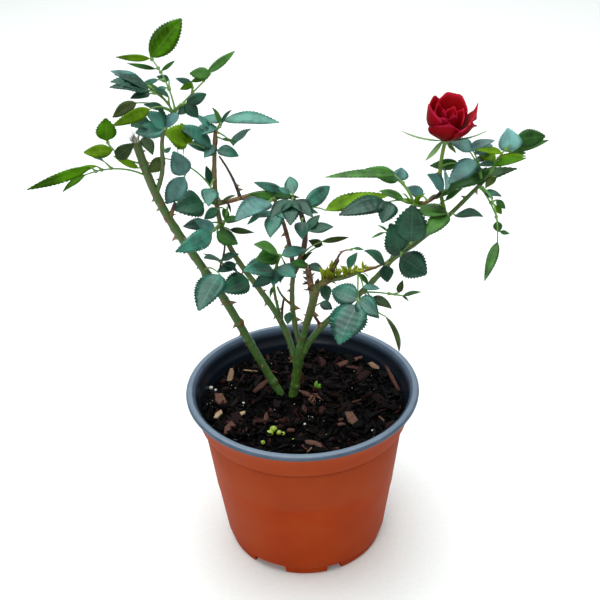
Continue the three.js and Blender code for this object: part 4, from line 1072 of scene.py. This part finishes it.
green_bark, tree, shader, place = new_finish("rose-cane-bark", 0.42, SKIN_IOR)
streak = clouds(tree, drawn_out(tree, place, 0.22), 700.0, 4.0)
first = reckon(tree, "MULTIPLY_ADD", streak, 0.22, attribute(tree, "age"))
shifted = reckon(tree, "MULTIPLY_ADD", clouds(tree, place, 160.0, 3.0), 0.3, first)
paint(tree, shader, ramp(tree, reckon(tree, "SUBTRACT", shifted, 0.18), [
    (0.0, "#6b8a2c"), (0.08, "#4a6e2e"), (0.2, "#3f5f2a"), (0.36, "#525a2a"),
    (0.52, "#74522c"), (0.66, "#5a3a26"), (0.84, "#33231b"), (1.0, "#1c1512"),
]))
emboss(tree, shader, streak, 0.35, 0.0003)

parts = [cane_parts(name) for name in LIMBS]
settle(join("canes", [green_bark], parts), "green_cane", *(name for name in LIMBS if name not in TWIGS))

# Thorns: broad-based hooks, straw at the foot and red-brown at the point.
THORN_STEP = 11.0
THORN_THICK = 0.3  # radius at the foot against length


def thorn_part(name, t, where, length):
    """One hooked thorn on a limb at share t, standing off the bark on the side `where`."""
    middle, ahead = limb_points(name, [t, min(1, t + 0.01)])
    along = unit(ahead - middle)
    out = towards(where, 0)
    out = unit(out - along * np.dot(out, along))
    share = np.linspace(0, 1, 6)
    path = middle + np.outer(limb_radius(name, t) * 0.75 + length * share, out)
    path = path - np.outer(0.32 * length * share**2, along)
    radii = THORN_THICK * length * (1 - share) ** 1.3 + 0.08
    here, faces = tube(path, radii, 6)
    stretch = np.einsum("ij,j->i", here - middle, along)
    near = np.clip(1 - np.linalg.norm(here - middle, axis=1) / (length + 2), 0, 1)
    here = here + np.outer(stretch * 0.9 * near, along)
    tone = np.append(np.repeat(share, 6), [0, 1])
    return here, faces, 0, {"age": tone}


thorn, tree, shader, place = new_finish("rose-thorn", 0.4, SKIN_IOR)
tone = ramp(tree, attribute(tree, "age"), [(0.0, "#6a6a3a"), (0.35, "#8a6244"), (1.0, "#4a241a")])
paint(tree, shader, tone)
# The large ones: cane, share along, side, length
THORNS = [
    ("cane-left", 0.81, 190, 2.6), ("cane-left", 0.775, 180, 2.8), ("cane-left", 0.665, 175, 4.6),
    ("cane-left", 0.61, 200, 3.0), ("cane-left", 0.6, 20, 2.6), ("cane-left", 0.74, 10, 3.2),
    ("cane-left", 0.93, 0, 2.6), ("cane-left", 0.37, 0, 4.4), ("cane-left", 0.29, 200, 3.4),
    ("cane-left", 0.38, 190, 2.2), ("cane-gnarled", 0.6, 0, 4.2), ("cane-gnarled", 0.42, 185, 3.0),
    ("cane-centre", 0.52, 0, 4.2), ("cane-centre", 0.36, 0, 3.8), ("cane-centre", 0.75, 180, 2.4),
    ("cane-centre-thorny", 0.5, 190, 3.0), ("cane-centre-thorny", 0.34, 190, 3.0),
    ("cane-back", 0.3, 190, 2.6), ("cane-back", 0.62, 20, 2.4), ("twig-back", 0.18, 0, 2.8),
    ("cane-right", 0.34, 200, 3.0),
]
parts = [thorn_part(*row) for row in THORNS]
for name, limb in LIMBS.items():
    at = chance.uniform(4, THORN_STEP)
    while at < limb["reach"] - 3:
        length = chance.uniform(1.2, 2.6) * (0.75 + 0.08 * limb["girth"][0])
        parts.append(thorn_part(name, at / limb["reach"], chance.uniform(0, 360), length))
        at += THORN_STEP * (0.35 if name.startswith("knot") else 1) * chance.uniform(0.5, 1.6)
settle(join("thorns", [thorn], parts), "green_cane")

# Where the left cane was cut back, its dead end has split into grey, curling fibres.
grey_wood, tree, shader, place = new_finish("weathered-cane-wood", 0.8)
fibre = clouds(tree, drawn_out(tree, place, 0.3), 900.0, 3.0)
paint(tree, shader, ramp(tree, fibre, [(0.3, "#3b332e"), (0.45, "#8d8580"), (0.6, "#c9c2bd")]))
FRAY = dict(count=17, length=(3.5, 10), spread=4.2, thick=0.8)
parts = []
end = limb_points("cane-left", 0.985)[0]
along = unit(end - limb_points("cane-left", 0.95)[0])
across, up = across_and_up(along)
for strip in range(FRAY["count"]):
    a = 2 * np.pi * strip / FRAY["count"] + chance.normal(0, 0.2)
    length = chance.uniform(*FRAY["length"])
    share = np.linspace(0, 1, 6)[:, None]
    outward = math.cos(a) * across + math.sin(a) * up
    path = end + outward * (1.5 + FRAY["spread"] * chance.uniform(0.2, 1) * share**2) + along * length * share
    path = path + chance.normal(0, 0.25, path.shape) * share
    parts.append((*tube(path, FRAY["thick"] * (1.1 - share[:, 0]), 5), 0, {}))
settle(join("cane-fray", [grey_wood], parts), "green_cane")


# ---------------------------------------------------------------- leaves
def leaflet_form(teeth):
    """A flat leaflet with an upper and a lower skin. For each point: its share of the length,
    its share across from -1 to 1, 1 for the lower skin, and 1 for a tooth's tip or -1 for a
    notch. Then the faces, and 1 for each that is part of the lower skin."""
    last = 2 * teeth
    index, rows = {}, []
    for i in range(last + 1):
        for j in (-2, -1, 0, 1, 2):
            tooth = 0 if abs(j) < 2 or i in (0, last) else (1 if i % 2 else -1)
            index["over", i, j] = len(rows)
            rows.append((i / last, j / 2, 0, tooth))
        for j in (-1, 0, 1):
            index["under", i, j] = len(rows)
            rows.append((i / last, j / 2, 1, 0))
        index["under", i, -2], index["under", i, 2] = index["over", i, -2], index["over", i, 2]
    faces, lower = [], []
    for i in range(last):
        for j in (-2, -1, 0, 1):
            a, b, c, d = (("over", i, j), ("over", i + 1, j), ("over", i + 1, j + 1), ("over", i, j + 1))
            faces.append(tuple(index[k] for k in (a, b, c, d)))
            faces.append(tuple(index["under", *k[1:]] for k in (d, c, b, a)))
            lower += [0, 1]
    for i, order in ((0, 1), (last, -1)):
        ring = [index["over", i, j] for j in (-2, -1, 0, 1, 2)] + [index["under", i, j] for j in (1, 0, -1)]
        faces.append(tuple(ring[::order]))
        lower.append(1)
    return np.array(rows, float), faces, np.array(lower)


FORMS = {teeth: leaflet_form(teeth) for teeth in (9, 12, 16)}
LEAF_THICK = 0.32
LEAF_FOLD = 12  # angle by which the halves of a blade stand up from its midrib


def leaflet(base, axes, length, width, curl=20, kind=0):
    """One leaflet: its outline swells near the stalk and narrows to a point, with forward
    teeth; its veins quilt it, its edges wave, and its tip curls down."""
    direction, side, up = axes
    teeth = 9 if length < 13 else 12 if length < 22 else 16
    rows, faces, lower = FORMS[teeth]
    u, v, under, tooth = rows.T
    half = 0.5 * width * length * np.sin(np.pi * np.clip(u, 0, 1) ** 0.8) ** 0.8 * (1 - 0.15 * u)
    half = np.maximum(half, np.where(u < 0.5, 0.35, 0.12))
    half = half * (1 + np.where(tooth > 0, 0.06, np.where(tooth < 0, -0.07, 0)))
    pitch = 1 / (2 * teeth)
    along = u + np.where(tooth > 0, 0.6 * pitch, 0) * (u < 0.99)
    x = length * (along - np.radians(curl) ** 2 * (along - 0.35) ** 3 / 6)
    z = -length * np.radians(curl) * ((along - 0.35) ** 2 - 0.35**2) / 2
    y = v * half
    lift = np.abs(y) * math.sin(math.radians(LEAF_FOLD))
    wave = chance.uniform(0, 6.28, 2)
    ripple = np.where(v > 0, np.sin(7 * u + wave[0]), np.sin(7 * u + wave[1])) * 0.035 * half * 2 * v**2
    quilt = 0.008 * length * np.cos(2 * np.pi * 7 * (u - 0.12 * np.abs(v))) * np.where(np.abs(v) == 0.5, 1, 0)
    quilt = quilt * np.sin(np.pi * np.clip(u, 0.02, 0.98)) ** 0.5
    groove = np.where(np.abs(v) == 0.5, 0.05 * half, 0)
    y = y * math.cos(math.radians(LEAF_FOLD))
    local = np.stack([x, y, z + lift + ripple + quilt + groove - under * LEAF_THICK], 1)
    here = base + local @ np.array([direction, side, up])
    finish = np.where(lower == 1, 2, kind)
    return here, faces, finish, {"leaf": np.stack([u, 0.5 + 0.5 * v], 1)}


def leaf_parts(leaf, number, kind):
    """The leaflets of one compound leaf."""
    jitter = np.random.default_rng(100 + number)
    length = leaf["stalk"][2]
    heading, rise, blade = leaf["blade"]
    stalk = stalk_points(leaf, np.linspace(0, 1, 41))
    axes = blade_frame(towards(heading, rise), leaf["roll"])
    direction, side, up = axes
    parts = [leaflet(stalk[-1], axes, blade, leaf["width"], kind=kind)]
    end = unit(stalk[-1] - stalk[-8])
    for pair in range(leaf["pairs"]):
        back = leaf["first"] + pair * leaf["gap"]
        foot = stalk[int(round(max(0, 1 - back / length) * 40))]
        for hand in (1, -1):
            if leaf["side"] == -hand:
                continue
            size = leaf["size"] - leaf["shrink"] * pair
            angle = leaf["splay"] + leaf["skew"] * hand + jitter.normal(0, 4) + leaf["fan"] * pair
            angle = math.radians(angle)
            share = 0.5 if pair == 0 else 0.7
            along = unit(share * end + (1 - share) * direction)
            out = unit(side - along * np.dot(side, along))
            face = np.cross(along, out)
            face = face if np.dot(face, up) > 0 else -face
            way = unit(along * math.cos(angle) + out * hand * math.sin(angle))
            left = np.cross(face, way)
            twist = math.radians(leaf["twist"]) * hand
            axes = (way, left * math.cos(twist) + face * math.sin(twist),
                    face * math.cos(twist) - left * math.sin(twist))
            parts.append(leaflet(foot, axes, blade * size * leaf["lop"] ** hand, leaf["wide"], kind=kind))
    return parts


def stalk_parts(leaf):
    """A leaf's stalk, which flares out at its foot."""
    length = leaf["stalk"][2]
    path = stalk_points(leaf, np.linspace(0, 1, max(6, int(length / 2))))
    share = np.linspace(0, 1, len(path))
    radii = 0.36 + 0.22 * (1 - share) + 0.55 * np.exp(-share * length / 1.2)
    here, faces = tube(*rounded(path, radii), 6)
    return here, faces, 0, {}


# Rose leaflets: a wax coat over net veins, so broad soft glints; younger ones are yellower
# and still matt. For each tint, two colours dealt out leaf by leaf, the underside, the veins,
# and the gloss of the upper side.
TINTS = {
    "young": ("#345e04", "#4a6a0a", "#5f8030", "#9db25a", 0.05),
    "fresh": ("#234f18", "#345f20", "#567f48", "#8fb080", 0.25),
    "pale": ("#1f5646", "#2c6656", "#5f8c7c", "#94b8a6", 0.6),
    # The waxy tint is a lighter, bluer copy of the pale one: its light blue-grey is partly a painted
    # reflection of the bright light above, over the leaves' own blue-green
    "waxy": ("#426f68", "#639490", "#7ba39a", "#2f5f56", 0.5),
    "deep": ("#0d3828", "#16442e", "#4a7258", "#6f9480", 0.4),
    "olive": ("#34421a", "#26391a", "#5c6f40", "#8f9a60", 0.15),
}


SIDE_VEINS = 8
# The lightest patches stand partly for a painted sheen, beyond the leaves' own mottling
LEAF_MOTTLE_AND_SHEEN = (0.58, 1.72)  # a leaf's darkest and lightest patches against its colour


def leaf_finish(name, colour, vein, roughness, gloss):
    """Leaf skin: paler along the midrib and the side veins, with a fine net of veins."""
    finish, tree, shader, place = new_finish(name, roughness, SKIN_IOR, gloss)
    uv = add(tree, "ShaderNodeUVMap", uv_map="leaf")
    split = add(tree, "ShaderNodeSeparateXYZ", {0: uv.outputs[0]})
    across = reckon(tree, "ABSOLUTE", reckon(tree, "SUBTRACT", split.outputs[1], 0.5))
    slant = reckon(tree, "MULTIPLY_ADD", across, -0.3, split.outputs[0])
    wave = reckon(tree, "COSINE", reckon(tree, "MULTIPLY", slant, 2 * math.pi * SIDE_VEINS))
    rib = carried(tree, wave, 0.6, 1.0, 0.0, 0.1)
    middle = carried(tree, across, 0.03, 0.01, 0.0, 0.34)
    veins = reckon(tree, "MAXIMUM", rib, middle)
    # Soft patches, darker and lighter at random: real mottling, and in the lighter ones a painted sheen
    mottle_and_sheen = carried(tree, clouds(tree, place, 95.0, 4.0), 0.36, 0.64, 0.0, 1.0)
    base = linear(colour)
    dark, light = ([share * c for c in base[:3]] + [1] for share in LEAF_MOTTLE_AND_SHEEN)
    pale = [0.6 * c + 0.4 * d for c, d in zip(base, linear(vein))]
    paint(tree, shader, blend(tree, veins, blend(tree, mottle_and_sheen, dark, light), pale))
    net = add(tree, "ShaderNodeTexVoronoi", {"Vector": place, "Scale": 1100.0})
    emboss(tree, shader, reckon(tree, "MULTIPLY_ADD", veins, -0.8, net.outputs[0]), 0.3, 0.0002)
    return finish


SLOTS = {"waxy": "pale"}
chance = np.random.default_rng(23)
nodes = set(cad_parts)
for tint, (first, second, under, vein, gloss) in TINTS.items():
    finishes = [leaf_finish(f"rose-leaf-{tint}", first, vein, 0.38, gloss),
                leaf_finish(f"rose-leaf-{tint}-second", second, vein, 0.42, gloss),
                leaf_finish(f"rose-leaf-{tint}-underside", under, vein, 0.6, 0.15)]
    parts, stands_for = [], []
    for number, (name, leaf) in enumerate(LEAVES.items()):
        if leaf["tint"] == tint:
            parts += leaf_parts(leaf, number, int(chance.random() < 0.5))
            stands_for += [f"foliage-{name}"] if f"foliage-{name}" in nodes else []
    settle(join(f"leaves-{tint}", finishes, parts), f"leaf_{SLOTS.get(tint, tint)}", *stands_for)

# The old head of the gnarled cane has broken into a thicket of short shoots: small folded
# leaves of a yellow young green over brown bud scales. For each: the limb, shares along it
# that they start between, how many, their lengths, the tint's finish, and how far they lean.
BRACTS = [
    ("cane-gnarled-arm", 0.2, 1.0, 64, (3, 7.5), 0, 40), ("cane-gnarled-arm", 0.0, 0.6, 34, (2, 5), 1, 50),
    ("cane-gnarled", 0.93, 1.0, 16, (2, 4.5), 1, 55), ("knot-left", 0.1, 1.0, 34, (2, 4.5), 1, 60),
    ("knot-right", 0.0, 0.7, 20, (2.5, 6), 0, 50), ("twig-five", 0.0, 0.14, 10, (3, 6), 0, 40),
]
scale_skin = mottled("bud-scale-dry", 0.6, 300.0, [(0.35, "#241810"), (0.55, "#4a3420"), (0.7, "#6a5a2c")],
                     detail=3.0, ior=SKIN_IOR)
bract_skins = [leaf_finish("rose-bract-young", "#6f7a0e", "#9db25a", 0.4, 0.2), scale_skin]
parts = []
for name, low, high, count, sizes, skin, lean in BRACTS:
    for _ in range(count):
        share = chance.uniform(low, high)
        foot = limb_points(name, share)[0]
        heading, off, roll = chance.uniform(0, 360), abs(chance.normal(0, lean)), chance.uniform(-60, 60)
        axes = blade_frame(towards(heading, 90 - off), roll)
        length, width, curl = chance.uniform(*sizes), chance.uniform(0.3, 0.5), chance.uniform(-30, 50)
        base = foot + axes[0] * limb_radius(name, share) * 0.6
        here, faces, _, values = leaflet(base, axes, length, width, curl=curl)
        parts.append((here, faces, skin, values))
settle(join("bracts", bract_skins, parts), "leaf_young")

# Leaf stalks: green, flushed red where the light reaches them
stalk_skin = mottled("rose-leaf-stalk", 0.45, 45.0, [(0.35, "#5a8a3a"), (0.6, "#6f8f45"), (0.75, "#8a6a48")],
                     ior=SKIN_IOR)
settle(join("leaf-stalks", [stalk_skin], [stalk_parts(leaf) for leaf in LEAVES.values()]), "leaf_fresh")


# ---------------------------------------------------------------- the bloom
def petal(heading, foot, height, width, belly, flare, roll, tip=0.0, lean=0.0):
    """One petal, wrapped round the stem's axis. foot is its base's distance from the axis,
    belly how far it bulges out, flare how far its top leans on from there, roll how its side
    edges turn back, tip the point in its top edge, and lean how far it slips sideways."""
    over, under, shade = [], [], []
    rows, columns, thick = 15, 13, 0.3
    for i in range(rows):
        u = i / (rows - 1)
        spread = width * (0.3 + 0.7 * math.sin(math.pi * (0.06 + 0.5 * min(1, 1.15 * u))))
        spread *= 1 - 0.35 * max(0, u - 0.75) * 4 * max(0, u - 0.75) * 4
        for j in range(columns):
            v = 2 * j / (columns - 1) - 1
            ruffle = 0.035 * math.sin(4.3 * v + heading) * u**3
            z = height * (u - 0.2 * abs(v) ** 2.6 * u**2 + tip * max(0, 1 - 2.2 * abs(v)) * u**4 + ruffle)
            radius = foot + belly * math.sin(0.5 * math.pi * min(1, 1.6 * u)) + flare * u**3
            radius += roll * abs(v) ** 3 * u
            angle = math.radians(heading + lean * u) + v * spread / max(radius, 2.4)
            over.append([radius * math.cos(angle), radius * math.sin(angle), z])
            inner = max(radius - thick, 0.1)
            under.append([inner * math.cos(angle), inner * math.sin(angle), z])
            # shade is how far up the petal a point lies, more at the side edges; the finish paints low points
            # darker, as painted shade in the cup
            shade.append(min(1, u + 0.25 * v**4 * u))
    faces, kinds, size = [], [], rows * columns
    for i in range(rows - 1):
        for j in range(columns - 1):
            a = i * columns + j
            ring = (a, a + 1, a + columns + 1, a + columns)
            faces += [ring, tuple(size + k for k in ring[::-1])]
            kinds += [0, 1]
    edge = list(range(columns)) + [i * columns + columns - 1 for i in range(1, rows)]
    edge += [(rows - 1) * columns + j for j in range(columns - 2, -1, -1)]
    edge += [i * columns for i in range(rows - 2, 0, -1)]
    for a, b in zip(edge, edge[1:] + edge[:1]):
        faces.append((b, a, size + a, size + b))
        kinds.append(1)
    return np.array(over + under), faces, kinds, {"height": np.array(shade * 2)}


stem_end = limb_points("flower-stem", 1)[0]
stem_way = unit(stem_end - limb_points("flower-stem", 0.6)[0])
tilt = np.array(Vector((0, 0, 1)).rotation_difference(Vector(stem_way)).to_matrix())


def on_stem(part):
    """A part drawn round the upright axis, set on the end of the stem."""
    points, *rest = part
    return (points @ tilt.T + stem_end + 1.8 * stem_way, *rest)


# Rose petals: velvet, deep crimson inside, bluer and duller on their backs, pink on the lip,
# and painted shade that darkens each petal to near black at its foot, down in the cup.
def petal_finish(name, scale, stops):
    """Petal skin: matt, and coloured by height: painted shade darkens it towards the foot."""
    finish, tree, shader, place = new_finish(name, 0.6, 1.35, 0.12)
    shifted = reckon(tree, "MULTIPLY_ADD", clouds(tree, place, scale, 3.0), 0.14, attribute(tree, "height"))
    paint(tree, shader, ramp(tree, shifted, stops))
    return finish


velvet = petal_finish("rose-petal-face", 260.0,
                      [(0.1, "#2e0001"), (0.6, "#720003"), (0.96, "#92000a"), (1.0, "#a20c22")])
backs = petal_finish("rose-petal-back", 200.0,
                     [(0.1, "#4c0006"), (0.7, "#7a000a"), (0.96, "#8c0012"), (1.0, "#a01236")])

# heading, foot, height, width, belly, flare, roll, tip, lean
PETALS = [
    (258, 1.6, 12.0, 10.5, 9.0, 1.2, 0.5, 0.0, 0),
    (184, 1.6, 18.5, 9.5, 9.4, 0.2, -1.6, 0.0, 8),
    (126, 1.6, 20.0, 9.0, 8.2, 1.0, 0.6, 0.02, 0),
    (74, 1.6, 22.5, 10.5, 7.4, 1.6, 0.8, 0.02, 0),
    (354, 1.6, 19.0, 8.8, 9.0, 3.1, 1.0, 0.1, 0),
    (318, 1.6, 12.5, 8.6, 9.4, 3.4, 0.8, 0.14, 0),
    (232, 1.0, 14.0, 8.0, 6.6, 0.2, 0.5, 0.0, 0),
    (22, 1.0, 16.0, 7.4, 6.0, 0.8, 0.6, 0.05, 0),
    (140, 1.0, 17.0, 7.4, 5.4, 0.6, 0.5, 0.04, 0),
    (290, 0.8, 14.5, 6.4, 4.2, 0.5, 0.4, 0.04, 0),
    (60, 0.8, 16.5, 5.6, 3.4, 0.4, 0.4, 0.05, 0),
    (190, 0.8, 15.8, 5.0, 2.8, 0.2, 0.3, 0.05, 20),
    (330, 0.6, 15.0, 4.0, 1.8, 0.1, 0.3, 0.05, 30),
    (120, 0.4, 14.5, 3.0, 1.0, 0.1, 0.2, 0.05, 40),
]
settle(join("bloom-petals", [backs, velvet], [on_stem(petal(*row)) for row in PETALS]), "rose_petal", "bloom")

# The hip under the petals, and five sepals that turn down from it
sepal_skin = mottled("rose-sepal", 0.5, 150.0, [(0.35, "#54803a"), (0.65, "#86a468")], ior=SKIN_IOR)
HIP = [(1.1, -2.0), (1.5, -1.0), (2.4, 0.2), (2.9, 1.4), (2.9, 2.4), (2.4, 3.2)]
hip = tube(np.array([[0, 0, z] for _, z in HIP]), np.array([r for r, _ in HIP]), 16)
parts = [on_stem((hip[0], hip[1], 0, {"leaf": np.zeros((len(hip[0]), 2))}))]
# heading, rise, length and width share of each sepal
SEPALS = [
    (212, -42, 13.0, 0.34), (181, 12, 21.0, 0.13), (345, 16, 20.0, 0.11), (300, -30, 8.0, 0.4),
    (75, -10, 12.0, 0.3),
]
for heading, rise, length, width in SEPALS:
    here = stem_end + 2.0 * stem_way + 2.0 * towards(heading, 0)
    axes = blade_frame(towards(heading, rise), 0)
    points, faces, _, values = leaflet(here, axes, length, width, curl=-30)
    parts.append((points, faces, 0, values))
settle(join("sepals-and-hip", [sepal_skin], parts), "leaf_pale")
